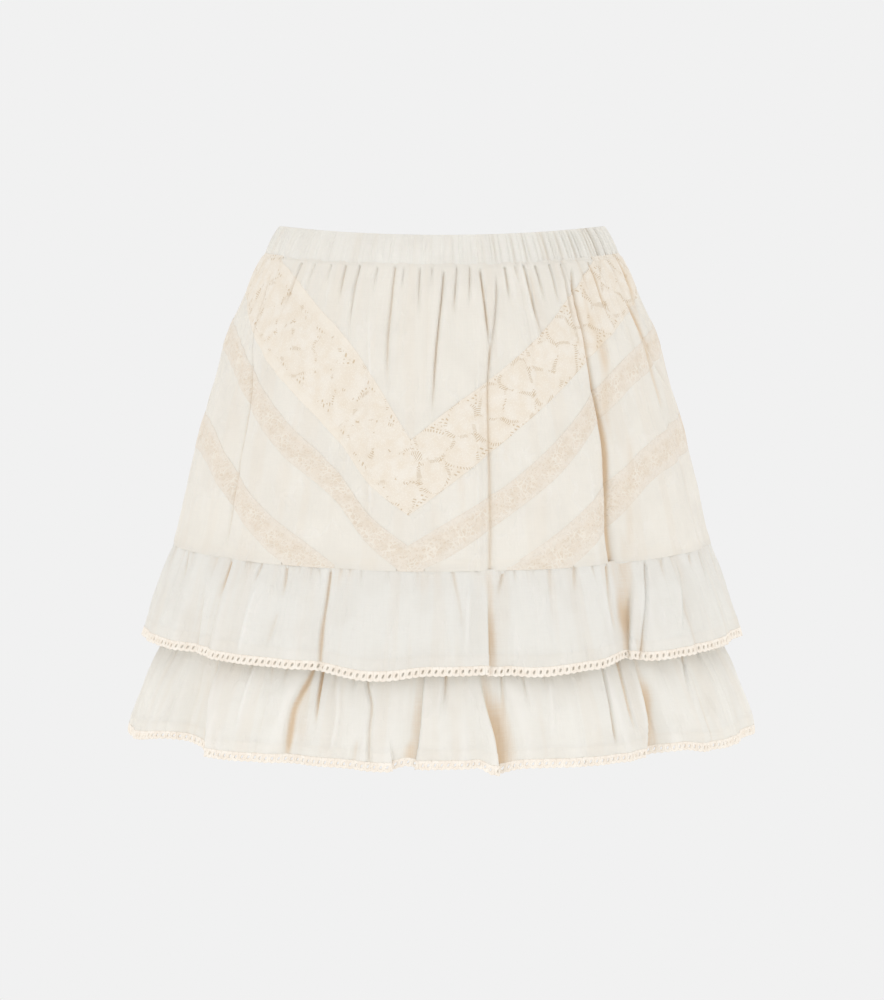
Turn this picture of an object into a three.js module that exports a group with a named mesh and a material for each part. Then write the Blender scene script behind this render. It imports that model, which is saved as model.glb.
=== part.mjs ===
import * as THREE from "three";

// A short skirt with an elastic waistband, insertion lace set in chevrons, and two gathered
// ruffles edged with crochet. It is hollow and filled out, as worn, and open at waist and hem.
// Lengths are millimetres. Angles are degrees round the body: 0 is the centre front, at -Y,
// and positive angles turn towards +X. The origin is the middle of the waist, at half the
// height of the waistband. Each cloth wall is a ring, or a patch of a ring, with an outer face
// on the garment's form and an inner face moved in by the cloth's thickness.

// Heights, from the origin
const WAIST_TOP = 13;
const WAIST_BASE = -12;
const BODY_TOP = -12.3;
const BODY_BASE = -232;
const UPPER_TOP = -232.3;
const UPPER_BASE = -297;
const UPPER_TRIM_TOP = -297.3;
const UPPER_TRIM_BASE = -303.6;
const UNDER_BASE = -292;
const LOWER_TOP = -292.3;
const LOWER_BASE = -373.4;
const LOWER_TRIM_TOP = -373.7;
const LOWER_TRIM_BASE = -380;

// Thickness of the cloth walls
const BAND_WALL = 2.5;
const VOILE_WALL = 1.5;
const LACE_WALL = 1.9;
const RUFFLE_WALL = 1.8;
const TRIM_WALL = 1.5;

// Seams: the gap down a slanting seam, the half gap of an upright seam in degrees, and the
// least height at which a piece still begins or ends
const SEAM_GAP = 0.4;
const SEAM_HALF_ANGLE = 0.07;
const LEAST_HEIGHT = 1.6;

// Numbers of gathers and of folds all round
const WAIST_GATHERS = 56;
const UPPER_GATHERS = 48;
const LOWER_GATHERS = 48;

// The back edge sags this much more than the front edge at its centre
const BACK_SAG = 1.1;

const SIDE = 90;
const FULL_TURN = 360;
const FRONT_APEX = -7;
const BACK_APEX = 180;

// Sections of the body and the upper ruffle: half the width, the depth over the width, and how
// far the ring sags at the centre front
const UPPER_FORM = [
  { z: 13, half: 126.5, deep: 0.74, sag: 6.4 },
  { z: -4, half: 135, deep: 0.74, sag: 6.4 },
  { z: -21.5, half: 144.7, deep: 0.735, sag: 6.4 },
  { z: -40, half: 152.5, deep: 0.73, sag: 6.4 },
  { z: -68, half: 165.4, deep: 0.72, sag: 6.4 },
  { z: -106, half: 176.3, deep: 0.715, sag: 6.4 },
  { z: -153, half: 190.3, deep: 0.705, sag: 6.4 },
  { z: -190, half: 199, deep: 0.7, sag: 6.4 },
  { z: -232, half: 209, deep: 0.7, sag: 6.4 },
  { z: -250, half: 216.5, deep: 0.7, sag: 7.5 },
  { z: -280, half: 227, deep: 0.7, sag: 9 },
  { z: -303.6, half: 234, deep: 0.7, sag: 10 },
];

// Sections of the plain panel under the upper ruffle and of the lower ruffle sewn to it
const LOWER_FORM = [
  { z: -232, half: 203.7, deep: 0.691, sag: 6.4 },
  { z: -262, half: 205.4, deep: 0.692, sag: 6.4 },
  { z: -292, half: 210, deep: 0.696, sag: 6 },
  { z: -313, half: 220, deep: 0.7, sag: 5 },
  { z: -331, half: 229, deep: 0.7, sag: 4 },
  { z: -350, half: 236.7, deep: 0.7, sag: 2.5 },
  { z: -368, half: 243, deep: 0.7, sag: 1 },
  { z: -380, half: 245, deep: 0.7, sag: 1 },
];

// The great folds, which run from the waist to the lower hem: their angle at the waist, at the
// ruffle seam and at the hem, half their width in degrees, how deep they are at the seam and
// at the hem, and how far their bottom leans to one side. A negative depth is a swelling.
const GREAT_FOLDS = [
  { waist: -60, seam: -55, hem: -58, width: 9, seamDepth: 4, hemDepth: 12, lean: -0.35 },
  { waist: -38, seam: -40, hem: -42, width: 10, seamDepth: -2, hemDepth: -4, lean: 0 },
  { waist: -21, seam: -19, hem: -26, width: 7, seamDepth: 4, hemDepth: 9, lean: 0.3 },
  { waist: -8, seam: -9, hem: -12, width: 8, seamDepth: -3, hemDepth: -6, lean: 0 },
  { waist: 15, seam: 10.3, hem: 9.5, width: 6, seamDepth: 5, hemDepth: 10, lean: 0.4 },
  { waist: 30, seam: 24, hem: 24, width: 10, seamDepth: -3, hemDepth: -6, lean: 0 },
  { waist: 46, seam: 41, hem: 42, width: 8, seamDepth: 8, hemDepth: 13, lean: 0.4 },
  { waist: 68, seam: 78, hem: 76, width: 8, seamDepth: 4, hemDepth: 8, lean: 0.2 },
  { waist: 112, seam: 113, hem: 112, width: 8, seamDepth: 5, hemDepth: 11, lean: -0.3 },
  { waist: 139, seam: 141, hem: 144, width: 8, seamDepth: 5, hemDepth: 10, lean: 0.3 },
  { waist: 163, seam: 166, hem: 164, width: 7, seamDepth: 4, hemDepth: 9, lean: -0.2 },
  { waist: -172, seam: -170, hem: -168, width: 7, seamDepth: 3, hemDepth: 8, lean: 0.3 },
  { waist: -148, seam: -147, hem: -145, width: 8, seamDepth: 6, hemDepth: 10, lean: 0.2 },
  { waist: -118, seam: -116, hem: -119, width: 8, seamDepth: 5, hemDepth: 11, lean: -0.3 },
];

// The chevrons of lace. Each row is a place along an arm of the V, its turn in degrees from the
// point of the V, with the heights of the edges of the wide, the narrow and the corner lace.
const FRONT_LEFT_ARM = [
  { turn: 0, wideTop: -137, wideBase: -192, narrowTop: -214, narrowBase: -236, cornerTop: -275, cornerBase: -300 },
  { turn: 9, wideTop: -97, wideBase: -170, narrowTop: -191, narrowBase: -212, cornerTop: -248, cornerBase: -276 },
  { turn: 18, wideTop: -66, wideBase: -138, narrowTop: -158, narrowBase: -179, cornerTop: -224, cornerBase: -247 },
  { turn: 29, wideTop: -44, wideBase: -112, narrowTop: -134, narrowBase: -157, cornerTop: -203, cornerBase: -228 },
  { turn: 43, wideTop: -22, wideBase: -86, narrowTop: -105, narrowBase: -128, cornerTop: -176, cornerBase: -200 },
  { turn: 63, wideTop: -4, wideBase: -50, narrowTop: -68, narrowBase: -90, cornerTop: -138, cornerBase: -163 },
  { turn: 83, wideTop: 4, wideBase: -34, narrowTop: -58, narrowBase: -80, cornerTop: -130, cornerBase: -156 },
];
const FRONT_RIGHT_ARM = [
  { turn: 0, wideTop: -137, wideBase: -192, narrowTop: -214, narrowBase: -236, cornerTop: -275, cornerBase: -300 },
  { turn: 9, wideTop: -114, wideBase: -169, narrowTop: -195, narrowBase: -221, cornerTop: -253, cornerBase: -279 },
  { turn: 20, wideTop: -91, wideBase: -142, narrowTop: -173, narrowBase: -196, cornerTop: -231, cornerBase: -258 },
  { turn: 32, wideTop: -65, wideBase: -114, narrowTop: -144, narrowBase: -168, cornerTop: -206, cornerBase: -236 },
  { turn: 45, wideTop: -38, wideBase: -87, narrowTop: -112, narrowBase: -134, cornerTop: -178, cornerBase: -208 },
  { turn: 59, wideTop: -15, wideBase: -64, narrowTop: -86, narrowBase: -108, cornerTop: -152, cornerBase: -178 },
  { turn: 73, wideTop: -4, wideBase: -49, narrowTop: -73, narrowBase: -95, cornerTop: -140, cornerBase: -166 },
  { turn: 97, wideTop: 4, wideBase: -34, narrowTop: -58, narrowBase: -80, cornerTop: -130, cornerBase: -156 },
];
const BACK_ARM = [
  { turn: 0, wideTop: -130, wideBase: -186, narrowTop: -209, narrowBase: -234, cornerTop: -272, cornerBase: -298 },
  { turn: 10, wideTop: -108, wideBase: -164, narrowTop: -190, narrowBase: -215, cornerTop: -249, cornerBase: -275 },
  { turn: 20, wideTop: -87, wideBase: -141, narrowTop: -170, narrowBase: -193, cornerTop: -229, cornerBase: -255 },
  { turn: 32, wideTop: -64, wideBase: -113, narrowTop: -143, narrowBase: -166, cornerTop: -205, cornerBase: -234 },
  { turn: 45, wideTop: -38, wideBase: -87, narrowTop: -113, narrowBase: -136, cornerTop: -178, cornerBase: -206 },
  { turn: 60, wideTop: -16, wideBase: -62, narrowTop: -86, narrowBase: -109, cornerTop: -153, cornerBase: -179 },
  { turn: 75, wideTop: -4, wideBase: -45, narrowTop: -68, narrowBase: -91, cornerTop: -138, cornerBase: -164 },
  { turn: 90, wideTop: 4, wideBase: -34, narrowTop: -58, narrowBase: -80, cornerTop: -130, cornerBase: -156 },
];

// Colours of the cloths
const VOILE = { color: 0xece9e2, roughness: 0.85, metalness: 0 };
const LACE = { color: 0xefe2cf, roughness: 0.9, metalness: 0 };
const TRIM = { color: 0xf2e9da, roughness: 0.9, metalness: 0 };

const radians = THREE.MathUtils.degToRad;
const blend = THREE.MathUtils.lerp;
const ramp = THREE.MathUtils.smoothstep;

/** A smooth curve through a table's rows: the value of one column at a place along another. */
function along(table, key, column, place) {
  const rising = table[table.length - 1][key] > table[0][key];
  const sign = rising ? 1 : -1;
  const last = table.length - 1;
  const held = Math.min(Math.max(place * sign, table[0][key] * sign), table[last][key] * sign);
  let k = 0;
  while (k < last - 1 && table[k + 1][key] * sign < held) k += 1;
  const slope = (i) => {
    const before = table[Math.max(i - 1, 0)];
    const after = table[Math.min(i + 1, last)];
    return (after[column] - before[column]) / ((after[key] - before[key]) * sign);
  };
  const from = table[k];
  const to = table[k + 1];
  const span = (to[key] - from[key]) * sign;
  const t = (held - from[key] * sign) / span;
  const start = from[column] * (1 + 2 * t) * (1 - t) ** 2 + to[column] * t * t * (3 - 2 * t);
  return start + span * t * (1 - t) * (slope(k) * (1 - t) - slope(k + 1) * t);
}

/** An angle brought to between -180 and 180. */
function wrapped(angle) {
  return angle - FULL_TURN * Math.round(angle / FULL_TURN);
}

/** The angles of a ring's gathers, unevenly spaced all round, from the back round to the back. */
function gatherAngles(count, start) {
  const step = FULL_TURN / count;
  const uneven = (i) => 0.24 * Math.sin(2.3 * i + start) + 0.12 * Math.sin(5.1 * i);
  return Array.from({ length: count }, (_, i) => -180 + step * (i + 0.5 + uneven(i)));
}

/** How deep the great folds are at an angle and a height. */
function greatFolds(angle, z) {
  const down = Math.min((WAIST_BASE - z) / (WAIST_BASE - BODY_BASE), 1);
  const past = Math.max((BODY_BASE - z) / (BODY_BASE - LOWER_TRIM_BASE), 0);
  let depth = 0;
  for (const fold of GREAT_FOLDS) {
    const upper = blend(fold.waist, fold.seam, Math.max(down, 0));
    const centre = blend(upper, fold.hem, past);
    const across = wrapped(angle - centre) / fold.width;
    if (Math.abs(across) >= 1) continue;
    const leaned = across + fold.lean * (1 - across * across);
    const reach = fold.seamDepth * ramp(down, 0, 0.7) + (fold.hemDepth - fold.seamDepth) * past;
    depth += reach * Math.cos((leaned * Math.PI) / 2) ** 2;
  }
  return depth;
}

/** A gathered ring of cloth: its form, and its gathers' angles and depths at top and base. */
class Tier {
  constructor({ form, top, base, gathers, depthTop, depthBase, fade, merge }) {
    Object.assign(this, { form, top, base, gathers, depthTop, depthBase, fade, merge });
  }

  /** How deep the gathers are at an angle and a height: 0 on a crest. */
  gatherDepth(angle, z) {
    const list = this.gathers;
    const count = list.length;
    let turned = wrapped(angle);
    if (turned < list[0]) turned += FULL_TURN;
    let k = 0;
    while (k < count - 1 && list[k + 1] <= turned) k += 1;
    const next = k + 1 < count ? list[k + 1] : list[0] + FULL_TURN;
    const phase = (turned - list[k]) / (next - list[k]);
    const down = Math.min(Math.max((this.top - z) / (this.top - this.base), 0), 1);
    const nearer = phase < 0.5 ? k : (k + 1) % count;
    const own = nearer % 2 ? 1 : 1 - this.merge * down;
    const size = blend(this.depthTop, this.depthBase, down ** this.fade);
    return size * own * (1 - Math.sin(Math.PI * phase) ** 0.7);
  }

  /** The point of the cloth at an angle and a height, moved in from the outer face. */
  point(angle, z, inward = 0) {
    const half = along(this.form, "z", "half", z);
    const deep = half * along(this.form, "z", "deep", z);
    const turn = radians(angle);
    const [s, c] = [Math.sin(turn), Math.cos(turn)];
    const normal = new THREE.Vector2(s / half, -c / deep).normalize();
    const inset = inward + this.gatherDepth(angle, z) + greatFolds(angle, z);
    const sag = along(this.form, "z", "sag", z) + (c < 0 ? BACK_SAG : 0);
    return new THREE.Vector3(
      half * s - normal.x * inset,
      -deep * c - normal.y * inset,
      z - sag * c * c,
    );
  }

  /** The ring's columns: so many for each gather, the first in its trough. */
  columns(each) {
    const list = this.gathers;
    const next = (i) => (i + 1 < list.length ? list[i + 1] : list[0] + FULL_TURN);
    return list.flatMap((from, i) =>
      Array.from({ length: each }, (_, k) => blend(from, next(i), k / each)),
    );
  }
}

/** The closed wall between an outer and an inner grid of points, a list of columns each. */
function wall(outer, inner, closed) {
  const rows = outer[0].length;
  const points = [];
  outer.forEach((column, i) => column.forEach((p, j) => points.push(p, inner[i][j])));
  const out = (i, j) => 2 * ((i % outer.length) * rows + j);
  const into = (i, j) => out(i, j) + 1;
  const index = [];
  const quad = (a, b, c, d) => index.push(a, b, c, a, c, d);
  const spans = closed ? outer.length : outer.length - 1;
  for (let i = 0; i < spans; i += 1) {
    for (let j = 0; j < rows - 1; j += 1) {
      quad(out(i, j), out(i, j + 1), out(i + 1, j + 1), out(i + 1, j));
      quad(into(i, j + 1), into(i, j), into(i + 1, j), into(i + 1, j + 1));
    }
    quad(into(i, 0), out(i, 0), out(i + 1, 0), into(i + 1, 0));
    quad(out(i, rows - 1), into(i, rows - 1), into(i + 1, rows - 1), out(i + 1, rows - 1));
  }
  if (!closed) {
    const end = outer.length - 1;
    for (let j = 0; j < rows - 1; j += 1) {
      quad(out(0, j), into(0, j), into(0, j + 1), out(0, j + 1));
      quad(into(end, j), out(end, j), out(end, j + 1), into(end, j + 1));
    }
  }
  const geometry = new THREE.BufferGeometry().setFromPoints(points);
  geometry.setIndex(index);
  geometry.computeVertexNormals();
  return geometry;
}

/** A wall whose rows run between two edges, from column to column. */
function clothWall(tier, columns, topEdge, baseEdge, rows, thickness, closed) {
  const side = (inward) =>
    columns.map((angle) =>
      Array.from({ length: rows + 1 }, (_, j) =>
        tier.point(angle, blend(topEdge(angle), baseEdge(angle), j / rows), inward),
      ),
    );
  return wall(side(0), side(thickness), closed);
}

const garment = new THREE.Group();
garment.name = "tiered_ruffle_skirt";

function add(name, geometry, finish) {
  const mesh = new THREE.Mesh(geometry, new THREE.MeshStandardMaterial(finish));
  mesh.name = name;
  garment.add(mesh);
}

function level(z) {
  return () => z;
}

/** A whole ring from one height to another. */
function addRing(name, tier, columns, top, base, rows, thickness, finish) {
  add(name, clothWall(tier, columns, level(top), level(base), rows, thickness, true), finish);
}

const waistAngles = gatherAngles(WAIST_GATHERS, 0.6);
const band = new Tier({
  form: UPPER_FORM,
  top: WAIST_TOP,
  base: WAIST_BASE,
  gathers: waistAngles,
  depthTop: 1.6,
  depthBase: 2.2,
  fade: 1,
  merge: 0,
});
const body = new Tier({
  form: UPPER_FORM,
  top: BODY_TOP,
  base: BODY_BASE,
  gathers: waistAngles,
  depthTop: 2.4,
  depthBase: 0.3,
  fade: 0.45,
  merge: 0.5,
});
const upper = new Tier({
  form: UPPER_FORM,
  top: UPPER_TOP,
  base: UPPER_TRIM_BASE,
  gathers: gatherAngles(UPPER_GATHERS, 1.9),
  depthTop: 2,
  depthBase: 3.6,
  fade: 1.2,
  merge: 0.75,
});
const under = new Tier({
  form: LOWER_FORM,
  top: UPPER_TOP,
  base: UNDER_BASE,
  gathers: gatherAngles(LOWER_GATHERS, 4.1),
  depthTop: 0,
  depthBase: 1.2,
  fade: 2,
  merge: 0,
});
const lower = new Tier({
  form: LOWER_FORM,
  top: LOWER_TOP,
  base: LOWER_TRIM_BASE,
  gathers: under.gathers,
  depthTop: 2,
  depthBase: 4.5,
  fade: 1.2,
  merge: 0.75,
});

const bodyColumns = body.columns(2);

/** The body's columns between two angles, with the two angles themselves as ends. */
function columnsBetween(from, to) {
  const least = 0.6;
  const turned = bodyColumns.flatMap((a) => [a - FULL_TURN, a, a + FULL_TURN]);
  const inside = turned.filter((a) => a > from + least && a < to - least);
  return [from, ...inside.sort((a, b) => a - b), to];
}

/** The height of a lace edge at any angle, from the arm of the chevron that lies there. */
function edgeHeight(column, angle) {
  const turned = wrapped(angle);
  if (Math.abs(turned) > SIDE) {
    return along(BACK_ARM, "turn", column, FULL_TURN / 2 - Math.abs(turned));
  }
  const arm = turned < FRONT_APEX ? FRONT_LEFT_ARM : FRONT_RIGHT_ARM;
  return along(arm, "turn", column, Math.abs(turned - FRONT_APEX));
}

/** A lace edge held between the waistband and the ruffle seam. */
function edge(column, below = 0) {
  return (angle) => {
    const z = edgeHeight(column, angle) - below;
    return Math.min(Math.max(z, BODY_BASE), BODY_TOP);
  };
}

/** The stretch of angles, from one end towards the other, where a piece is high enough. */
function trimmedSpan(from, to, topEdge, baseEdge) {
  const step = 0.25;
  const tall = (a) => topEdge(a) - baseEdge(a) >= LEAST_HEIGHT;
  let [start, end] = [from, to];
  while (start < to && !tall(start)) start += step;
  while (end > from && !tall(end)) end -= step;
  return [start, end];
}

/** A patch of the body's cloth between two lace edges and two angles, bent at the V's point. */
function addPatch(name, from, to, topEdge, baseEdge, rows, thickness, finish, apex = from) {
  const [start, end] = trimmedSpan(from, to, topEdge, baseEdge);
  const bends = [apex - SEAM_HALF_ANGLE, apex + SEAM_HALF_ANGLE];
  const columns =
    apex > start
      ? [...columnsBetween(start, bends[0]), ...columnsBetween(bends[1], end)]
      : columnsBetween(start, end);
  add(name, clothWall(body, columns, topEdge, baseEdge, rows, thickness, false), finish);
}

/** Half the body, front or back: whole voile pieces across it, and both arms of each lace. */
function addBodyHalf(half, from, apex, to) {
  const [start, end] = [from + SEAM_HALF_ANGLE, to - SEAM_HALF_ANGLE];
  const bodyTop = level(BODY_TOP);
  const bodyBase = level(BODY_BASE);
  const whole = (name, top, base, rows) =>
    addPatch(`${half}_${name}`, start, end, top, base, rows, VOILE_WALL, VOILE, apex);
  whole("top_panel", bodyTop, edge("wideTop"), 3);
  whole("middle_panel", edge("wideBase", SEAM_GAP), edge("narrowTop"), 1);
  const arms = [
    { side: "left", a: start, b: apex - SEAM_HALF_ANGLE },
    { side: "right", a: apex + SEAM_HALF_ANGLE, b: end },
  ];
  for (const { side, a, b } of arms) {
    const lace = (name, top, base, rows) =>
      addPatch(`${half}_${name}_${side}`, a, b, edge(top, SEAM_GAP), edge(base), rows, LACE_WALL, LACE);
    const voile = (name, top, base, rows) =>
      addPatch(`${half}_${name}_${side}`, a, b, edge(top, SEAM_GAP), base, rows, VOILE_WALL, VOILE);
    lace("wide_lace", "wideTop", "wideBase", 2);
    lace("narrow_lace", "narrowTop", "narrowBase", 1);
    voile("lower_panel", "narrowBase", edge("cornerTop"), 1);
    lace("corner_lace", "cornerTop", "cornerBase", 1);
    voile("corner_panel", "cornerBase", bodyBase, 1);
  }
}

addRing("waistband", band, band.columns(3), WAIST_TOP, WAIST_BASE, 2, BAND_WALL, VOILE);
addBodyHalf("front", -SIDE, FRONT_APEX, SIDE);
addBodyHalf("back", SIDE, BACK_APEX, SIDE + FULL_TURN / 2);

const upperColumns = upper.columns(3);
const lowerColumns = lower.columns(3);
const trimUpper = [UPPER_TRIM_TOP, UPPER_TRIM_BASE];
const trimLower = [LOWER_TRIM_TOP, LOWER_TRIM_BASE];
addRing("upper_ruffle", upper, upperColumns, UPPER_TOP, UPPER_BASE, 3, RUFFLE_WALL, VOILE);
addRing("upper_crochet_edge", upper, upperColumns, ...trimUpper, 1, TRIM_WALL, TRIM);
addRing("under_panel", under, under.columns(2), UPPER_TOP, UNDER_BASE, 1, VOILE_WALL, VOILE);
addRing("lower_ruffle", lower, lowerColumns, LOWER_TOP, LOWER_BASE, 3, RUFFLE_WALL, VOILE);
addRing("lower_crochet_edge", lower, lowerColumns, ...trimLower, 1, TRIM_WALL, TRIM);

export default garment;
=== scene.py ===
"""The look of a tiered ruffle skirt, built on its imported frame.

The skirt is a gathered waistband, a body pieced from cotton voile and chevrons of insertion lace,
and two gathered ruffles edged with crochet. Lengths in the tables are millimetres and angles are
degrees round the body: 0 is the centre front, at -Y, and positive angles turn towards +X. The
meshes are in metres, in the frame's own place.
"""

import logging
import math
from dataclasses import dataclass, field
from enum import Enum

import bpy
import numpy as np
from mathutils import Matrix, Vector


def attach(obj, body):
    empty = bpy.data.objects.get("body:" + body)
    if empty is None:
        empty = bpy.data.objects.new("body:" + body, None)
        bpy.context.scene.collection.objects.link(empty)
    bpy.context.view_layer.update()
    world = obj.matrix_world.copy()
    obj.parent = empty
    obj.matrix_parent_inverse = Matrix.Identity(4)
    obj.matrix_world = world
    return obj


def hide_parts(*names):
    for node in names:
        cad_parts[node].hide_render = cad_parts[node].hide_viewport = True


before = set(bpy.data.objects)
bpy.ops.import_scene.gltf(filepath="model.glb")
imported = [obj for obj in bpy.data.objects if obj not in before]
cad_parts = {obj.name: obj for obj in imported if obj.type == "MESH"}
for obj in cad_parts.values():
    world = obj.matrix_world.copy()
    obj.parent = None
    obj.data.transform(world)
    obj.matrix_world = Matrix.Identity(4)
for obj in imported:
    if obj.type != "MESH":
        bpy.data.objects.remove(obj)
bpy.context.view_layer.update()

log = logging.getLogger("skirt")

METRE = 0.001
FULL_TURN = 360.0
SIDE = 90.0
BODY_NAME = "root"
FOLD_SHARPNESS = 0.52
FOLD_DEPTH = 0.92
GREAT_CALM = 0.75
HOLLOW_REACH = ((0.8, 0.45), (1.6, 0.4), (4.5, 0.15))

Array = np.ndarray


class Slot(Enum):
    """The material slots of the record."""

    VOILE = "voile"
    WIDE_LACE = "wide_lace"
    NARROW_LACE = "narrow_lace"
    CROCHET = "crochet"


class Held(Enum):
    """How a sheet of cloth is held."""

    GATHERED = "gathered"
    HUNG = "hung"
    STRETCHED = "stretched"


# Curves and angles


def smooth_curve(places: Array, values: Array, at: Array) -> Array:
    """A cubic between each two rows, whose slope at a row is that of the line between its neighbours.

    Args:
        places: The rows' places, rising.
        values: The rows' values.
        at: Where the curve is read; it is held to the table's range.

    Returns:
        The curve's value at each place.
    """
    rows = np.arange(len(places))
    after = np.minimum(rows + 1, len(places) - 1)
    before = np.maximum(rows - 1, 0)
    slopes = (values[after] - values[before]) / (places[after] - places[before])
    held = np.clip(at, places[0], places[-1])
    k = np.clip(np.searchsorted(places, held, side="right") - 1, 0, len(places) - 2)
    span = places[k + 1] - places[k]
    t = (held - places[k]) / span
    ends = values[k] * (1 + 2 * t) * (1 - t) ** 2 + values[k + 1] * t**2 * (3 - 2 * t)
    return ends + span * t * (1 - t) * (slopes[k] * (1 - t) - slopes[k + 1] * t)


def read_table(rows: tuple[tuple[float, ...], ...], column: int, at: Array) -> Array:
    """One column of a table along its first column.

    Args:
        rows: The table; its first column rises or falls.
        column: The column that is read.
        at: Places along the first column.

    Returns:
        The column's value at each place, on a smooth curve.
    """
    table = np.array(sorted(rows), float)
    return smooth_curve(table[:, 0], table[:, column], np.asarray(at, float))


def wrapped(angle: Array) -> Array:
    """Angles brought to between -180 and 180."""
    return angle - FULL_TURN * np.round(angle / FULL_TURN)


def ramp(value: Array, start: float, end: float) -> Array:
    """A soft step: 0 up to the start, 1 from the end, and t squared times (3 - 2t) between them."""
    t = np.clip((value - start) / (end - start), 0, 1)
    return t * t * (3 - 2 * t)


def reach_of(t: Array, full: tuple[float, float]) -> Array:
    """How strong a fold is along its length: it rises to the first place and fades after the second.

    Args:
        t: Place along the fold, 0 at its top and 1 at its base.
        full: The stretch where it has its whole depth.

    Returns:
        The share of the depth, from 0 to 1.
    """
    rise = ramp(t, 0, full[0]) if full[0] > 0 else np.ones_like(t)
    fall = 1 - ramp(t, full[1], 1) if full[1] < 1 else np.ones_like(t)
    return np.where(t >= -0.001, rise * fall, 0)


def gather_angles(count: int, start: float) -> Array:
    """The angles of a ring's gathers: even steps, each moved by two sine waves so that they are uneven.

    Args:
        count: How many gathers there are all round.
        start: The phase of the first wave.

    Returns:
        The angles, rising from the centre back.
    """
    i = np.arange(count)
    uneven = 0.24 * np.sin(2.3 * i + start) + 0.12 * np.sin(5.1 * i)
    return -FULL_TURN / 2 + FULL_TURN / count * (i + 0.5 + uneven)


# Folds


@dataclass(frozen=True)
class GreatFold:
    """A fold that runs from the waist to the lower hem. A negative depth is a swelling.

    Its angle is given at the waist, the ruffle seam and the hem, its half width in degrees, its
    depth at the seam and the hem in millimetres, and how far its bottom leans to one side.
    """

    waist: float
    seam: float
    hem: float
    width: float
    seam_depth: float
    hem_depth: float
    lean: float

    def depth(self, angle: Array, z: Array) -> Array:
        """The fold's depth: a squared cosine across it, which grows from the waist to the hem.

        Args:
            angle: Angles round the body.
            z: Heights.

        Returns:
            The depth in millimetres.
        """
        down = np.clip((BAND_BASE - z) / (BAND_BASE - BODY_BASE), 0, 1)
        past = np.clip((BODY_BASE - z) / (BODY_BASE - LOWER_EDGE_BASE), 0, None)
        upper = self.waist + (self.seam - self.waist) * down
        centre = upper + (self.hem - upper) * past
        across = wrapped(angle - centre) / self.width
        leaned = across + self.lean * (1 - across**2)
        size = self.seam_depth * ramp(down, 0, 0.7) + (self.hem_depth - self.seam_depth) * past
        inside = np.abs(across) < 1
        return np.where(inside, GREAT_CALM * size * np.cos(leaned * np.pi / 2) ** 2, 0)


@dataclass(frozen=True)
class Crease:
    """A smaller fold of one tier. A positive depth is a trough and a negative one a ridge.

    The path is (height, angle) points from the top down. The width is half the fold's, in degrees,
    at its top, and it spreads by that share on the way down.
    """

    path: tuple[tuple[float, float], ...]
    width: float
    depth: float
    full: tuple[float, float] = (0.0, 0.1)
    lean: float = 0.0
    spread: float = 0.6

    def inset(self, angle: Array, z: Array) -> Array:
        """The crease's depth: a squared cosine across it, as strong along it as reach_of says.

        Args:
            angle: Angles round the body.
            z: Heights.

        Returns:
            The depth in millimetres.
        """
        t = (self.path[0][0] - z) / (self.path[0][0] - self.path[-1][0])
        width = self.width * FOLD_SHARPNESS * (1 + self.spread * np.clip(t, 0, 1))
        across = wrapped(angle - read_table(self.path, 1, z)) / width
        leaned = across + self.lean * (1 - across**2)
        inside = np.abs(across) < 1
        size = FOLD_DEPTH * self.depth * reach_of(t, self.full)
        return np.where(inside, size * np.cos(leaned * np.pi / 2) ** 2, 0)


@dataclass(frozen=True)
class Lap:
    """A place where the cloth doubles over itself, so that one side lies behind the other.

    The path is (height, angle) points from the top down. Side is +1 where the cloth is deeper
    towards larger angles and -1 where it is deeper towards smaller ones. The step is how much
    deeper, in millimetres; reach and width shape the S of the cloth, and settle is how far the
    deeper side takes to come forward again, all three in degrees.
    """

    path: tuple[tuple[float, float], ...]
    side: int
    step: float
    settle: float
    width: float = 1.6
    reach: float = 0.5
    full: tuple[float, float] = (0.6, 1.0)

    def fold(self, angle: Array, z: Array) -> tuple[Array, Array]:
        """The S-fold: the cloth goes past the fold's line, turns back while it goes in, and turns again.

        Args:
            angle: Angles round the body.
            z: Heights.

        Returns:
            The sideways shift in degrees and the inset in millimetres.
        """
        t = (self.path[0][0] - z) / (self.path[0][0] - self.path[-1][0])
        strength = reach_of(t, self.full)
        u = wrapped(angle - read_table(self.path, 1, z)) * self.side / self.width
        bend = np.where(np.abs(u) < 1, -np.sin(np.pi * u) * (1 - u * u), 0)
        back = 1 - ramp((u - 1) * self.width, 0, self.settle)
        inset = self.step * ramp(u, -0.55, 0.55) * back
        return self.side * self.reach * bend * strength * 1.3, inset * strength


@dataclass(frozen=True)
class Drop:
    """A stretch of hem that hangs lower, or higher where the fall is negative."""

    angle: float
    width: float
    fall: float
    lean: float = 0.0

    def amount(self, angle: Array) -> Array:
        """The fall in millimetres: a squared cosine across the stretch."""
        across = wrapped(angle - self.angle) / self.width
        leaned = across + self.lean * (1 - across**2)
        return np.where(np.abs(across) < 1, self.fall * np.cos(leaned * np.pi / 2) ** 2, 0)


@dataclass(frozen=True)
class UnderlayShade:
    """A stretch of painted shade, where a fold's back lies behind the cloth so that less light comes through it; it
    moves no cloth.

    The path is (height, angle) points from the top down; the width is half the stretch's, in
    degrees, and the amount counts as that many millimetres of hollow.
    """

    path: tuple[tuple[float, float], ...]
    width: float
    amount: float

    def depth(self, angle: Array, z: Array) -> Array:
        """The painted shade's amount of hollow: a squared parabola across the stretch, soft at both ends."""
        t = (self.path[0][0] - z) / (self.path[0][0] - self.path[-1][0])
        across = wrapped(angle - read_table(self.path, 1, z)) / self.width
        along = ramp(t, 0, 0.3) * (1 - ramp(t, 0.7, 1))
        return self.amount * np.maximum(1 - across**2, 0) ** 2 * along


# The garment's heights, forms and folds

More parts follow.
